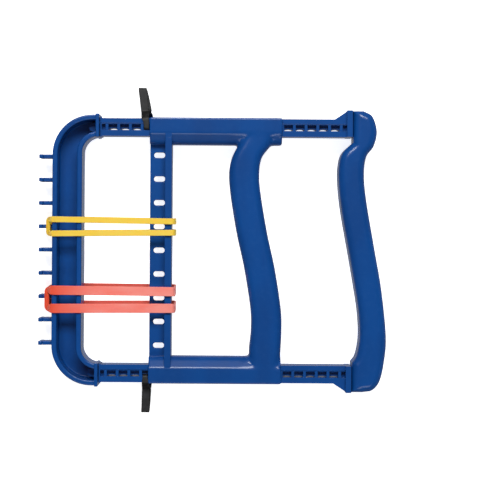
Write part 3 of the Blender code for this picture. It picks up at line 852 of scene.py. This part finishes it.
@dataclass
class BandBow:
    """The C-shaped channel at the left, with a row of T-shaped pegs down its back."""

    shop: Workshop
    left: float = -87.1 * MM
    right: float = -71.0 * MM
    end: float = -61.8 * MM
    outer_y: float = 73.5 * MM
    inner_y: float = 61.8 * MM
    outer_radius: float = 21.7 * MM
    inner_radius: float = 9.0 * MM
    half_depth: float = 9.6 * MM
    wall: float = 2.8 * MM
    floor_z: float = -2.9 * MM
    floor: float = 2.4 * MM
    lip: float = 0.75 * MM
    fillet: float = 0.9 * MM
    plate: float = 1.9 * MM
    plate_lip: float = 0.5 * MM
    peg_count: int = 9
    peg_pitch: float = 12.7 * MM
    peg_thickness: float = 2.2 * MM
    peg_head: float = 2.2 * MM
    peg_head_half: float = 7.0 * MM
    peg_neck_half: float = 5.0 * MM
    tongue_hole: Point = (2.5 * MM, 2.2 * MM)
    edge: float = 0.45 * MM
    turn_steps: int = 24

    def stations(self) -> list[tuple[Vector, Vector, Vector, Vector]]:
        """Points down the C: an outer point, its way in, an inner point and its way in."""
        outer_turn = Vector((self.left + self.outer_radius, self.outer_y - self.outer_radius))
        inner_turn = Vector((self.right + self.inner_radius, self.inner_y - self.inner_radius))
        up = Vector((0, 1))
        half = [(Vector((self.end - self.plate / 2, self.outer_y)), -up,
                 Vector((inner_turn.x, self.inner_y)), up)]
        for i in range(self.turn_steps + 1):
            angle = pi / 2 * (1 + i / self.turn_steps)
            way = Vector((cos(angle), sin(angle)))
            half.append((outer_turn + way * self.outer_radius, -way,
                         inner_turn + way * self.inner_radius, way))
        turn = Vector((1, -1))
        return half + [tuple(v * turn for v in station) for station in reversed(half)]

    def section(self) -> list[tuple[bool, float, float]]:
        """The channel's section: whether on the outer wall, how far in and how high."""
        low, high = -self.half_depth, self.half_depth
        under = self.floor_z - self.floor
        lip, fillet, wall = self.lip, self.fillet, self.wall
        steps = 5
        up = (arc(lip, low + lip, lip, 3, 2, steps) + arc(lip, high - lip, lip, 2, 1, steps)
              + arc(wall - lip, high - lip, lip, 1, 0, steps)
              + arc(wall + fillet, self.floor_z + fillet, fillet, 2, 3, steps))
        down = (arc(wall + fillet, under - fillet, fillet, 1, 2, steps)
                + arc(wall - lip, low + lip, lip, 0, -1, steps))
        return ([(True, d, z) for d, z in up] + [(False, d, z) for d, z in reversed(up)]
                + [(False, d, z) for d, z in reversed(down)] + [(True, d, z) for d, z in down])

    def channel(self) -> bpy.types.Mesh:
        """The C-shaped channel, open to the front and the back."""
        rings = []
        for outer, outer_in, inner, inner_in in self.stations():
            ring = []
            for on_outer, inwards, height in self.section():
                point = outer + outer_in * inwards if on_outer else inner + inner_in * inwards
                ring.append(Vector((point.x, point.y, height)))
            rings.append(ring)
        return skin(rings)

    def end_plates(self) -> bpy.types.Mesh:
        """The two plates that the rails butt against."""
        plate = block((self.end - self.plate, self.end),
                      (self.inner_y - self.plate_lip, self.outer_y + self.plate_lip),
                      (-HALF_DEPTH, HALF_DEPTH))
        plate = softened(plate, self.edge, 3)
        return merged([plate, flipped(plate)])

    def peg(self) -> bpy.types.Mesh:
        """The top peg: a fin with a T-shaped head."""
        tip = BOW_LOW.x
        step = tip + self.peg_head
        root = self.left + self.wall / 2
        outline = [(tip, -self.peg_head_half), (step, -self.peg_head_half), (step, -self.peg_neck_half),
                   (root, -self.peg_neck_half), (root, self.peg_neck_half), (step, self.peg_neck_half),
                   (step, self.peg_head_half), (tip, self.peg_head_half)]
        mesh = prism(outline, -self.peg_thickness / 2, self.peg_thickness / 2)
        for vertex in mesh.vertices:
            vertex.co = (vertex.co.x, vertex.co.z, vertex.co.y)
        mesh.flip_normals()
        return softened(mesh, self.edge, 3)

    def build(self) -> None:
        """Make the bow and its pegs."""
        body = union(self.channel(), self.end_plates())
        half_y, half_z = self.tongue_hole
        hole = block((self.end - 2 * self.plate, self.end + self.plate), (RAIL_Y - half_y, RAIL_Y + half_y),
                     (-half_z, half_z))
        body = combined(body, merged([hole, flipped(hole)]))
        self.shop.add("band_bow_channel", body, Body.FRAME, Slot.BLUE, ("band_bow",))
        first = self.peg_pitch * (self.peg_count - 1) / 2
        pegs = repeated(self.peg(), self.shop.row, Count=self.peg_count, Start=(0, first, 0),
                        Step=(0, -self.peg_pitch, 0), Finish=self.shop.finishes[Slot.BLUE])
        self.shop.add("band_pegs", pegs, Body.FRAME, Slot.BLUE, ("band_bow",))


@dataclass
class LadderRail:
    """A rail of the frame: a ladder beam with blind pockets, each with an arched slot."""

    shop: Workshop
    side: Side
    height: float = 9.6 * MM
    half_depth: float = 7.0 * MM
    start: float = -61.5 * MM
    end: float = 75.7 * MM
    first_rung: float = -57.8 * MM
    rung_pitch: float = 6.37 * MM
    rung_width: float = 1.55 * MM
    rung_count: int = 21
    pocket: float = 3.3 * MM
    half_web: float = 3.6 * MM
    slot: dict[Side, float] = field(default_factory=lambda: {Side.UPPER: 1.15 * MM, Side.LOWER: 0.7 * MM})
    strap_hole: Point = (1.5 * MM, 0.55 * MM)
    recess: float = 0.4 * MM
    slope: float = 0.75 * MM
    start_flange: float = 0.8 * MM
    start_lip: float = 0.5 * MM
    end_flange: float = 3.0 * MM
    flange_y: float = 76.6 * MM
    flange_drop: float = 0.4 * MM
    flange_half: float = 10.0 * MM
    gusset: float = 6.6 * MM
    tongue_neck: float = 1.9 * MM
    tongue_head: float = 2.5 * MM
    tongue_length: float = 6.4 * MM
    tongue_half: float = 2.2 * MM
    barb_length: float = 3.4 * MM
    barb_start: float = 0.8 * MM
    tenon: tuple[float, float, float] = (9.4 * MM, 3.2 * MM, 3.0 * MM)
    edge: float = 0.2 * MM
    arch_steps: int = 12

    def beam(self) -> bpy.types.Mesh:
        """The solid beam with its flanges, its gusset, its snap tongue and its tenon."""
        low = RAIL_Y - self.height / 2
        high = RAIL_Y + self.height / 2
        inner = self.start + self.start_flange
        flange = self.end - self.end_flange
        lip = self.start_lip
        outline = [(self.start, low - lip), (inner, low - lip), (inner, low), (flange + MM, low),
                   (flange + MM, self.flange_y), (flange, self.flange_y - self.flange_drop),
                   (flange - self.gusset, high), (inner, high), (inner, high + lip),
                   (self.start, high + lip)]
        beam = prism(outline, -self.half_depth, self.half_depth)
        plate = block((flange, self.end), (low, self.flange_y), (-self.flange_half, self.flange_half))
        length, half_y, half_z = self.tenon
        tenon = block((self.end - MM, self.end + length), (RAIL_Y - half_y, RAIL_Y + half_y),
                      (-half_z, half_z))
        tip = self.start - self.tongue_length
        barb = tip + self.barb_length
        half = [(self.start + MM, self.tongue_neck), (barb, self.tongue_neck), (barb, self.tongue_head),
                (tip + self.barb_start, self.tongue_neck), (tip, self.tongue_neck - MM)]
        sides = [(x, RAIL_Y + y) for x, y in half] + [(x, RAIL_Y - y) for x, y in reversed(half)]
        tongue = prism(sides, -self.tongue_half, self.tongue_half)
        return union(beam, plate, tenon, tongue)

    def space(self, x_range: Point, slotted: bool) -> bpy.types.Mesh:
        """A tool for one rung space: a pocket from either face and an arched slot between them."""
        beyond = self.half_depth + MM
        low = -self.pocket / 2
        high = self.pocket / 2
        front = block(x_range, (low, high), (self.half_web, beyond))
        back = block(x_range, (low, high), (-beyond, -self.half_web))
        if not slotted:
            return merged([front, back])
        middle = (x_range[0] + x_range[1]) / 2
        reach = (x_range[1] - x_range[0]) / 2
        foot = low if self.side is Side.UPPER else high
        rise = self.slot[self.side] * self.side.value
        arch = [(middle + reach * x, foot + rise * y) for x, y in arc(0, 0, 1, 0, 2, self.arch_steps)]
        slot = prism(arch, -self.half_web - MM, self.half_web + MM)
        return union(front, slot, back)

    def row_recess(self) -> bpy.types.Mesh:
        """A tool that sinks the row of rungs on both faces and slopes one long edge of it."""
        low = RAIL_Y - self.pocket / 2
        high = RAIL_Y + self.pocket / 2
        top = self.half_depth - self.recess
        beyond = self.half_depth + MM
        outer = self.slope if self.side is Side.UPPER else 0.0
        inner = self.slope - outer
        face = self.half_depth + SLIVER
        profile = [(low, top), (high, top), (high + outer, face), (high + outer, beyond),
                   (low - inner, beyond), (low - inner, face)]
        ends = (self.start + self.start_flange, self.end - self.end_flange)
        tools = [skin([[Vector((x, y, way * z)) for y, z in profile] for x in ends]) for way in (1, -1)]
        return merged(tools)

    def build(self) -> None:
        """Make the rail."""
        clear = self.rung_pitch - self.rung_width
        tools = repeated(self.space((0, clear), True), self.shop.row, Count=self.rung_count - 1,
                         Start=(self.first_rung + self.rung_width / 2, RAIL_Y, 0),
                         Step=(self.rung_pitch, 0, 0))
        last = self.first_rung + self.rung_pitch * (self.rung_count - 1) + self.rung_width / 2
        ends = []
        for x_range in ((self.start + self.start_flange, self.first_rung - self.rung_width / 2),
                        (last, self.end - self.end_flange)):
            tool = self.space(x_range, False)
            for vertex in tool.vertices:
                vertex.co.y += RAIL_Y
            ends.append(tool)
        half_x, half_y = self.strap_hole
        strap_y = STRAP_Y[self.side]
        strap = block((STRAP_X - half_x, STRAP_X + half_x), (strap_y - half_y, strap_y + half_y),
                      (-self.half_depth, self.half_depth))
        rail = combined(combined(self.beam(), self.row_recess()), merged([tools] + ends))
        rail = softened(combined(rail, strap), self.edge)
        upper = self.side is Side.UPPER
        name = "upper_rail" if upper else "lower_rail"
        rail = rail if upper else flipped(rail)
        self.shop.add(f"{name}_ladder", rail, Body.FRAME, Slot.BLUE, (name,))


@dataclass
class PalmHandle:
    """The bowed handle that lies in the palm: two half shells with a seam between them."""

    shop: Workshop
    left: float = 76.0 * MM
    top: float = 76.4 * MM
    edge: float = 4.2 * MM
    seam: float = 0.35 * MM
    right_side: tuple[Point, ...] = (
        (81.8, 76.4), (86.6, 73.4), (89.0, 65.2), (87.2, 57.2), (83.3, 51.6), (82.1, 42.0), (83.4, 28.0),
        (88.1, 1.1), (92.0, -21.0), (94.6, -46.0), (93.6, -60.0), (91.3, -70.2), (87.4, -75.2),
        (81.8, -76.4))
    left_side: tuple[Point, ...] = (
        (76.0, -60.4), (78.6, -56.2), (80.2, -46.0), (79.4, -32.0), (76.7, -15.2), (73.3, 3.8),
        (70.0, 22.0), (68.4, 36.0), (68.3, 46.0), (70.2, 53.4), (76.0, 59.2))
    screws: tuple[Point, ...] = ((82.0, 67.0), (76.1, 33.0), (85.4, -24.0), (82.0, -67.0))
    screw_length: float = 16.4 * MM
    steps: int = 7

    def outline(self) -> Outline:
        """The handle seen from the front."""
        return ([(self.left, self.top)] + smooth_path(self.right_side, self.steps)
                + [(self.left, -self.top)] + smooth_path(self.left_side, self.steps))

    def build(self) -> None:
        """Make both halves and their screws."""
        outline = self.outline()
        front = prism(outline, GAP / 2, HALF_DEPTH, self.seam, self.edge)
        self.shop.add("palm_handle_front_shell", front, Body.FRAME, Slot.BLUE, ("palm_handle_front",))
        back = prism(outline, -HALF_DEPTH, -GAP / 2, self.edge, self.seam)
        back = combined(back, screw_seats(self.screws, -HALF_DEPTH))
        self.shop.add("palm_handle_back_shell", back, Body.FRAME, Slot.BLUE, ("palm_handle_back",))
        self.shop.add_screws("palm_handle_screw", self.screw_length, self.screws, -HALF_DEPTH, Body.FRAME)


@dataclass
class Screw:
    """A pan-head screw with a cross recess and a cut thread, its head's top at the origin."""

    length: float
    head_radius: float = 2.7 * MM
    head: float = 1.8 * MM
    shank_radius: float = 1.25 * MM
    thread: float = 0.22 * MM
    pitch: float = 1.1 * MM
    sides: int = 24
    dome: float = 0.9 * MM
    crown: float = 0.08 * MM
    crown_start: float = 0.35
    crown_end: float = 0.7
    rim: float = 0.15 * MM
    tip_length: float = 2 * MM
    tip_share: float = 0.3
    cross_arm: float = 0.6
    cross_half: float = 0.4 * MM
    cross_depth: float = 0.9 * MM
    cross_step: float = 0.05 * MM   # one slot of the cross is this much deeper than the other

    def mesh(self) -> bpy.types.Mesh:
        """The screw, its shank along +Z."""
        head = self.head_radius
        profile = ([(self.crown_start * head, 0.0), (self.crown_end * head, self.crown)]
                   + arc(head - self.dome, self.dome, self.dome, -1, 0, 5)
                   + [(head, self.head - self.rim), (head - self.rim, self.head)])
        rings = [[Vector((radius * cos(a), radius * sin(a), height)) for a in self.angles()]
                 for radius, height in profile]
        count = ceil((self.length - self.head) / (self.pitch / 4))
        for k in range(count + 1):
            height = self.head + (self.length - self.head) * k / count
            taper = min(1.0, self.tip_share + (self.length - height) / self.tip_length)
            rings.append([Vector((cos(a), sin(a), 0)) * self.radius_at(a, height) * taper
                          + Vector((0, 0, height)) for a in self.angles()])
        arm = self.cross_arm * head
        half = self.cross_half
        cross = union(block((-arm, arm), (-half, half), (-MM, self.cross_depth)),
                      block((-half, half), (-arm, arm),
                            (-MM - self.cross_step, self.cross_depth + self.cross_step)))
        return combined(skin(rings), cross)

    def angles(self) -> list[float]:
        """The angles round a ring."""
        return [2 * pi * i / self.sides for i in range(self.sides)]

    def radius_at(self, angle: float, height: float) -> float:
        """The thread's radius, which climbs one pitch each turn."""
        phase = (height / self.pitch - angle / (2 * pi)) % 1
        return self.shank_radius - self.thread + self.thread * max(0.0, 1 - abs(phase - 0.5) * 3)


@dataclass
class Slider:
    """The part that slides: two sleeves on the rails, the finger handle, its cover and the slotted bar."""

    shop: Workshop
    left: float = -34.5 * MM
    right: float = 37.5 * MM
    mouth_y: float = 61.9 * MM
    cheek: float = 7.3 * MM
    outer_y: float = 72.3 * MM
    inner_y: float = 57.6 * MM
    sleeve_half: float = 9.2 * MM
    sleeve_round: float = 4.0 * MM
    slope_start: float = 64.2 * MM
    slope_angle: float = 30.0
    bend: float = 1.8 * MM
    bend_steps: int = 5
    round_steps: int = 8
    handle_half: float = 9.1 * MM
    handle_edge: float = 4.4 * MM
    handle_steps: int = 8
    grain: float = 0.5 * MM
    settle_rounds: int = 3
    junction_x: Point = (24.0 * MM, 29.0 * MM)
    junction_y: float = 60.5 * MM
    junction_reach: float = 5.0 * MM
    junction_half: float = 15.0 * MM
    junction_fade: float = 4.0 * MM
    junction_rounds: int = 26
    mouth_margin: Point = (1.2 * MM, 0.8 * MM)
    rib: Point = (-26.0 * MM, -22.3 * MM)
    rib_half: float = 9.1 * MM
    bar_end: float = 61.6 * MM
    cap_end: float = 66.0 * MM
    half_web: float = 1.25 * MM
    web_inset: float = 0.1 * MM
    bar_edge: float = 0.35 * MM
    slot_count: int = 9
    slot_pitch: float = 13.0 * MM
    slot_size: Point = (6.1 * MM, 2.9 * MM)
    slot_x: float = -29.3 * MM
    slot_steps: int = 10
    cover_thickness: float = 3.6 * MM
    cover_inset: float = 3.6 * MM
    cover_end: float = 50.0 * MM
    cover_steps: int = 40
    screw_length: float = 12.0 * MM
    right_side: tuple[Point, ...] = (
        (36.2, 66.5), (33.6, 61.6), (31.4, 57.5), (26.5, 50.6), (25.2, 41.0), (26.3, 29.6), (29.8, 9.5),
        (34.0, -9.5), (37.4, -31.0), (37.9, -43.0), (37.4, -54.0), (37.0, -61.6), (36.9, -66.5))
    left_side: tuple[Point, ...] = (
        (21.0, -66.5), (20.6, -61.6), (20.2, -54.0), (21.2, -43.0), (20.8, -31.0), (17.3, -9.5),
        (13.1, 9.5), (9.7, 29.6), (8.7, 42.0), (10.2, 50.6), (13.9, 58.0), (16.0, 61.6), (19.4, 66.5))
    screws: tuple[Point, ...] = ((16.9, 42.0), (23.3, 0.0), (29.3, -42.0))

    def sleeve(self) -> bpy.types.Mesh:
        """The upper sleeve: a channel open outwards, round towards the middle."""
        quarters = self.slope_angle / 90
        slope = radians(self.slope_angle)
        top = arc(self.slope_start, self.sleeve_half - self.bend, self.bend, 1, 1 + quarters,
                  self.bend_steps)
        turn_y = self.inner_y + self.sleeve_round
        run = top[-1][0] - turn_y + self.sleeve_round * sin(slope)
        turn_z = top[-1][1] - run * tan(slope) - self.sleeve_round * cos(slope)
        half = top + arc(turn_y, turn_z, self.sleeve_round, 1 + quarters, 2, self.round_steps)
        profile = ([(self.outer_y, self.cheek), (self.outer_y, self.sleeve_half)] + half
                   + [(y, -z) for y, z in reversed(half)]
                   + [(self.outer_y, -self.sleeve_half), (self.outer_y, -self.cheek),
                      (self.mouth_y, -self.cheek), (self.mouth_y, self.cheek)])
        return skin([[Vector((x, y, z)) for y, z in profile] for x in (self.left, self.right)])

    def moulding(self) -> bpy.types.Mesh:
        """The sleeves and the finger handle, run into each other as they are moulded."""
        sleeve = self.sleeve()
        outline = self.side_path(self.right_side) + self.side_path(self.left_side)
        handle = prism(outline, -self.handle_half, self.handle_half, self.handle_edge, self.handle_edge,
                       shrink=narrowed)
        mouth = block((self.left - MM, self.right + MM), (self.mouth_y, self.outer_y + MM),
                      (-self.cheek, self.cheek))
        solid = combined(union(handle, sleeve, flipped(sleeve)), merged([mouth, flipped(mouth)]))
        solid = worked(solid, "REMESH", mode="VOXEL", voxel_size=self.grain, adaptivity=0.0)
        relaxed(solid, np.full(len(solid.vertices), 0.5), self.settle_rounds)
        return relaxed(solid, self.junction_strength(positions(solid)), self.junction_rounds)

    def junction_strength(self, points: np.ndarray) -> np.ndarray:
        """How strongly to smooth each point, so that the handle runs softly into the sleeves.

        Args:
            points: the moulding's points, one row each.

        Returns:
            A strength for each, 0 away from the junctions and inside the sleeves' mouths.
        """
        height = np.abs(points[:, 1])
        near = np.clip(1 - np.abs(height - self.junction_y) / self.junction_reach, 0, 1)
        middle = np.where(points[:, 1] > 0, *self.junction_x)
        across = np.clip((self.junction_half - np.abs(points[:, 0] - middle)) / self.junction_fade, 0, 1)
        margin_y, margin_z = self.mouth_margin
        in_mouth = (height > self.mouth_y - margin_y) & (np.abs(points[:, 2]) < self.cheek + margin_z)
        return 0.5 * np.sqrt(near) * across * np.where(in_mouth, 0, 1)

    def side_path(self, knots: tuple[Point, ...]) -> Outline:
        """One side of the handle as a smooth curve."""
        return smooth_path(knots, self.handle_steps)

    def cover_outline(self, margin: float) -> Outline:
        """The back cover's outline, a margin inside the handle's sides."""
        left_path = self.side_path(self.left_side)
        right_path = self.side_path(self.right_side)
        end = self.cover_end - margin
        levels = [end - 2 * end * i / self.cover_steps for i in range(self.cover_steps + 1)]
        right = [(side_at(right_path, y) - margin, y) for y in levels]
        left = [(side_at(left_path, y) + margin, y) for y in reversed(levels)]
        return right + left

    def bar(self) -> bpy.types.Mesh:
        """The slotted bar with its rib, round which the bands pass."""
        rib = block(self.rib, (-self.bar_end, self.bar_end), (-self.rib_half, self.rib_half))
        web = block((self.left + self.web_inset, self.rib[0] + MM), (-self.bar_end, self.bar_end),
                    (-self.half_web, self.half_web))
        length, width = self.slot_size
        reach = (length - width) / 2
        outline = (arc(self.slot_x + reach, 0, width / 2, -1, 1, self.slot_steps)
                   + arc(self.slot_x - reach, 0, width / 2, 1, 3, self.slot_steps))
        slot = prism(outline, -self.rib_half, self.rib_half)
        slots = repeated(slot, self.shop.row, Count=self.slot_count,
                         Start=(0, -self.slot_pitch * (self.slot_count - 1) / 2, 0),
                         Step=(0, self.slot_pitch, 0))
        bar = softened(combined(union(rib, web), slots), self.bar_edge, 3)
        low = self.cheek + GAP
        high = self.rib_half - SLIVER
        caps = [softened(block(self.rib, (self.bar_end - MM, self.cap_end), z_range), self.bar_edge, 3)
                for z_range in ((low, high), (-high, -low))]
        return merged([bar] + caps + [flipped(cap) for cap in caps])

    def build(self) -> None:
        """Make the slider's pieces."""
        moulding = self.moulding()
        back = -self.handle_half
        recess = prism(self.cover_outline(self.cover_inset), back - MM, back + self.cover_thickness + GAP)
        plate = prism(self.cover_outline(self.cover_inset + GAP), back - MM, back + self.cover_thickness)
        cover = combined(moulding.copy(), plate, "INTERSECT")
        cover = combined(cover, screw_seats(self.screws, back))
        body = combined(moulding, recess)
        self.shop.add("slider_moulding", body, Body.SLIDER, Slot.BLUE, ("slider_frame",), weighted=False)
        self.shop.add("slotted_bar", self.bar(), Body.SLIDER, Slot.BLUE, ("slider_frame",))
        self.shop.add("finger_handle_cover", cover, Body.SLIDER, Slot.BLUE, ("finger_handle_back",),
                      weighted=False)
        self.shop.add_screws("finger_handle_screw", self.screw_length, self.screws, back, Body.SLIDER)


@dataclass
class StopLoop:
    """A strap of rubber through a rung space and round the rail's outer flange, its tail standing off."""

    shop: Workshop
    side: Side
    node: str
    shoulder_x: float
    tail_x: float
    back_lean: float
    lean_y: float = 69.0 * MM
    face_y: float = 70.0 * MM
    fold_y: float = 71.2 * MM
    shoulder_y: float = 72.5 * MM
    root_y: float = 76.3 * MM
    front: float = 7.8 * MM
    tip_y: float = 88.0 * MM
    width: float = 2.7 * MM
    shoulder_width: float = 4.1 * MM
    tip_width: float = 4.5 * MM
    thickness: float = 1.0 * MM
    layer_z: float = 0.56 * MM
    corner: float = 0.9 * MM
    tip_round: float = 0.4 * MM
    back_ease: float = 0.6
    corner_steps: int = 5
    fold_steps: int = 12
    tail_steps: int = 14

    def profile(self) -> Outline:
        """The front layer in Y and Z, from the slot to the tip."""
        slot_y = STRAP_Y[self.side]
        points = [(slot_y, 0.0), (slot_y, self.front / 2)]
        points += arc(slot_y + self.corner, self.front - self.corner, self.corner, 2, 1, self.corner_steps)
        points += [(self.face_y, self.front), (self.fold_y, self.front)]
        for i in range(1, self.fold_steps + 1):
            part = i / self.fold_steps
            points.append((self.fold_y + (self.root_y - self.fold_y) * part,
                           self.front + (self.layer_z - self.front) * eased(part)))
        tail = self.tip_y - self.root_y
        points += [(self.root_y + tail * i / self.tail_steps, self.layer_z)
                   for i in range(1, self.tail_steps + 1)]
        return points

    def half(self, way: int) -> list[Station]:
        """One layer, from the slot to the tip.

        Args:
            way: 1 for the front layer, -1 for the back one.

        Returns:
            Its points, the way that it faces at each and its width there.
        """
        profile = self.profile()
        layer = []
        for i, (y, z) in enumerate(profile):
            y0, z0 = profile[max(0, i - 1)]
            y1, z1 = profile[min(len(profile) - 1, i + 1)]
            start = share(y, self.lean_y, self.shoulder_y)
            rise = share(y, self.shoulder_y, self.tip_y)
            x = STRAP_X + (self.shoulder_x - STRAP_X) * start + (self.tail_x - self.shoulder_x) * rise
            if way < 0:
                x += self.back_lean * start * (1 - rise) ** self.back_ease
            width = (self.width + (self.shoulder_width - self.width) * start
                     + (self.tip_width - self.shoulder_width) * rise)
            layer.append((Vector((x, y, z * way)), Vector((0, z0 - z1, y1 - y0)) * way, width))
        return layer

    def build(self) -> None:
        """Make the strap."""
        tip = (Vector((self.tail_x, self.tip_y + self.tip_round, 0)), Vector((0, 1, 0)), self.tip_width)
        mesh = sweep(self.half(1) + [tip] + self.half(-1)[:0:-1], self.thickness)
        if self.side is Side.LOWER:
            mesh = flipped(mesh)
        self.shop.add(f"{self.node}_strap", mesh, Body.FRAME, Slot.BLACK, (self.node,))


@dataclass
class RubberBand:
    """A band doubled from a peg round the bar's rib: one closed loop of flat rubber."""

    shop: Workshop
    node: str
    slot: Slot
    peg_y: float
    width: float
    hook_width: float
    spread: float
    far_spread: float
    hook_x: float
    sag: float
    far_rise: float
    corner: float = 1.0 * MM
    thickness: float = 0.95 * MM
    front: float = 10.35 * MM
    neck: float = 5.85 * MM
    lip_x: float = -86.8 * MM
    turn_x: float = -22.2 * MM
    turn_radius: float = 1.6 * MM
    hook_tilt: float = 0.7
    turn_steps: int = 8
    strand_steps: int = 40
    side_steps: int = 4

    def quarter(self) -> list[Station]:
        """A quarter of the band: from the middle of the hook in front of the peg's neck, along the
        upper strand and round the rib to the parting plane.

        Returns:
            Its points about the peg's height, the way that it faces at each and its width there.
        """
        plan = [(self.hook_x, 0.0), (self.hook_x, (self.spread - self.corner) / 2)]
        plan += arc(self.hook_x + self.corner, self.spread - self.corner, self.corner, 2, 1,
                    self.turn_steps)
        start = plan[-1][0]
        for i in range(1, self.strand_steps + 1):
            part = i / self.strand_steps
            plan.append((start + (self.turn_x - start) * part,
                         self.spread + (self.far_spread - self.spread) * part))
        quarter = []
        for x, y in plan:
            ease = eased(share(x, self.lip_x, self.hook_x))
            height = self.front + (self.neck - self.front) * ease
            width = self.width + (self.hook_width - self.width) * ease
            quarter.append((Vector((x, y, height)), Vector((-self.hook_tilt * ease, 0, 1)), width))
        middle_z = self.front - self.turn_radius
        for x, z in arc(self.turn_x, middle_z, self.turn_radius, 1, 0, self.turn_steps)[1:]:
            facing = Vector((x - self.turn_x, 0, z - middle_z))
            quarter.append((Vector((x, self.far_spread, z)), facing.normalized(), self.width))
        right = self.turn_x + self.turn_radius
        for i in range(1, self.side_steps + 1):
            place = Vector((right, self.far_spread, middle_z * (1 - i / self.side_steps)))
            quarter.append((place, Vector((1, 0, 0)), self.width))
        return quarter

    def build(self) -> None:
        """Make the band."""
        quarter = self.quarter()

        def turned(y_way: int, z_way: int) -> list[Station]:
            """The quarter on another side of the peg."""
            flip = Vector((1, y_way, z_way))
            loop = []
            for point, facing, width in quarter:
                behind = max(0.0, -z_way * point.z / self.front)
                lift = Vector((0, self.peg_y - self.sag + self.far_rise * behind, 0))
                loop.append((point * flip + lift, facing * flip, width))
            return loop

        loop = turned(1, 1) + turned(1, -1)[-2::-1] + turned(-1, -1)[1:] + turned(-1, 1)[-2:0:-1]
        mesh = sweep(loop, self.thickness)
        self.shop.add(f"{self.node}_loop", mesh, Body.STRETCHED, self.slot, (self.node,))


@dataclass
class Studio:
    """The white table, the soft lights and the camera straight above."""

    eye: tuple[float, float, float] = (10.0 * MM, 11.0 * MM, 918 * MM)
    roll: float = 0.0065
    lens: float = 119.2
    shift: Point = (0.038, -0.0388)
    sensor: float = 36.0
    table_half: float = 1.5
    table_drop: float = 0.2 * MM
    air: str = "F4F6FA"
    from_below: float = 0.4
    from_around: float = 0.09
    fade: Point = (-0.8, -0.55)     # the Z of the directions between those two strengths

    def camera(self) -> None:
        """Hang the camera over the grip."""
        data = bpy.data.cameras.new("camera")
        data.lens = self.lens
        data.sensor_width = self.sensor
        data.shift_x, data.shift_y = self.shift
        camera = bpy.data.objects.new("camera", data)
        camera.location = self.eye
        camera.rotation_euler = (0, 0, self.roll)
        bpy.context.scene.collection.objects.link(camera)
        bpy.context.scene.camera = camera

    def light(self, name: str, place: tuple[float, float, float], size: Point, power: float) -> None:
        """Add a soft rectangular light that faces the grip.

        Args:
            name: its name.
            place: where it hangs.
            size: its width and height.
            power: its power in watts.
        """
        data = bpy.data.lights.new(name, "AREA")
        data.shape = "RECTANGLE"
        data.size, data.size_y = size
        data.energy = power
        light = bpy.data.objects.new(name, data)
        light.location = place
        light.rotation_euler = (-Vector(place)).to_track_quat("-Z", "Y").to_euler()
        bpy.context.scene.collection.objects.link(light)

    def build(self) -> None:
        """Set up the table, the lights, the surroundings and the camera."""
        self.camera()
        shape = bmesh.new()
        bmesh.ops.create_grid(shape, x_segments=8, y_segments=8, size=self.table_half)
        floor = bpy.data.objects.new("table", to_mesh(shape))
        floor.location.z = -self.table_drop
        floor.data.materials.append(CoatedPaper().material())
        bpy.context.scene.collection.objects.link(floor)
        floor.visible_glossy = False
        self.light("head_softbox", place=(0.0, 0.75, 1.1), size=(0.9, 0.4), power=16.0)
        self.light("foot_softbox", place=(0.0, -0.8, 1.0), size=(1.1, 0.35), power=3.6)
        world = bpy.data.worlds.new("studio")
        world.use_nodes = True
        tree = world.node_tree
        way = add_node(tree, "ShaderNodeTexCoord").outputs["Generated"]
        up = add_node(tree, "ShaderNodeSeparateXYZ", {0: way}).outputs["Z"]
        strength = between(tree, up, *self.fade, self.from_below, self.from_around)
        tree.nodes["Background"].inputs["Color"].default_value = srgb(self.air)
        tree.links.new(strength, tree.nodes["Background"].inputs["Strength"])
        bpy.context.scene.world = world
        bpy.context.scene.view_settings.view_transform = "Standard"


def main() -> None:
    """Build the grip, sub-assembly by sub-assembly."""
    logging.basicConfig(level=logging.INFO, format="%(name)s: %(message)s")
    for thing in [o for o in bpy.data.objects if o.type in {"LIGHT", "CAMERA"} or o.name == "Cube"]:
        bpy.data.objects.remove(thing)
    Studio().build()
    finishes = {
        Slot.BLUE: MouldedPolypropylene("moulded polypropylene, blue", base="0B4A93", deep="094388",
                                        worn="5F8CC8", roughness=0.24).material(),
        # each band's third darker colour is the painted shade on its far layer
        Slot.YELLOW: LatexRubber("latex rubber, yellow", base="F9D038", bloom="FBDA5C", slack="F3C42E",
                                 painted_shade="D9AE2C", slack_x=-0.091, taut_x=-0.080).material(),
        Slot.SALMON: LatexRubber("latex rubber, salmon", base="FF8072", bloom="FFA095", slack="F04E2C",
                                 painted_shade="D1503F", slack_x=-0.088, taut_x=-0.060).material(),
        Slot.BLACK: MouldedRubber().material(),
        Slot.STEEL: ZincPlatedSteel().material(),
    }
    shop = Workshop(finishes, row_tree(), places_tree())
    BandBow(shop).build()
    for side in Side:
        LadderRail(shop, side).build()
    PalmHandle(shop).build()
    Slider(shop).build()
    StopLoop(shop, Side.UPPER, "upper_stop_loop", shoulder_x=-37.1 * MM, tail_x=-38.9 * MM,
             back_lean=1.9 * MM).build()
    StopLoop(shop, Side.LOWER, "lower_stop_loop", shoulder_x=-36.0 * MM, tail_x=-36.3 * MM,
             back_lean=0.9 * MM).build()
    RubberBand(shop, "yellow_band", Slot.YELLOW, peg_y=12.7 * MM, width=3.2 * MM, hook_width=2.6 * MM,
               spread=3.87 * MM, far_spread=3.07 * MM, hook_x=-89.5 * MM, sag=0.0,
               far_rise=0.3 * MM).build()
    RubberBand(shop, "red_band", Slot.SALMON, peg_y=-25.4 * MM, width=5.0 * MM, hook_width=3.0 * MM,
               spread=4.95 * MM, far_spread=4.5 * MM, hook_x=-90.0 * MM, sag=1.4 * MM,
               far_rise=0.9 * MM).build()


if __name__ == "__main__":
    main()
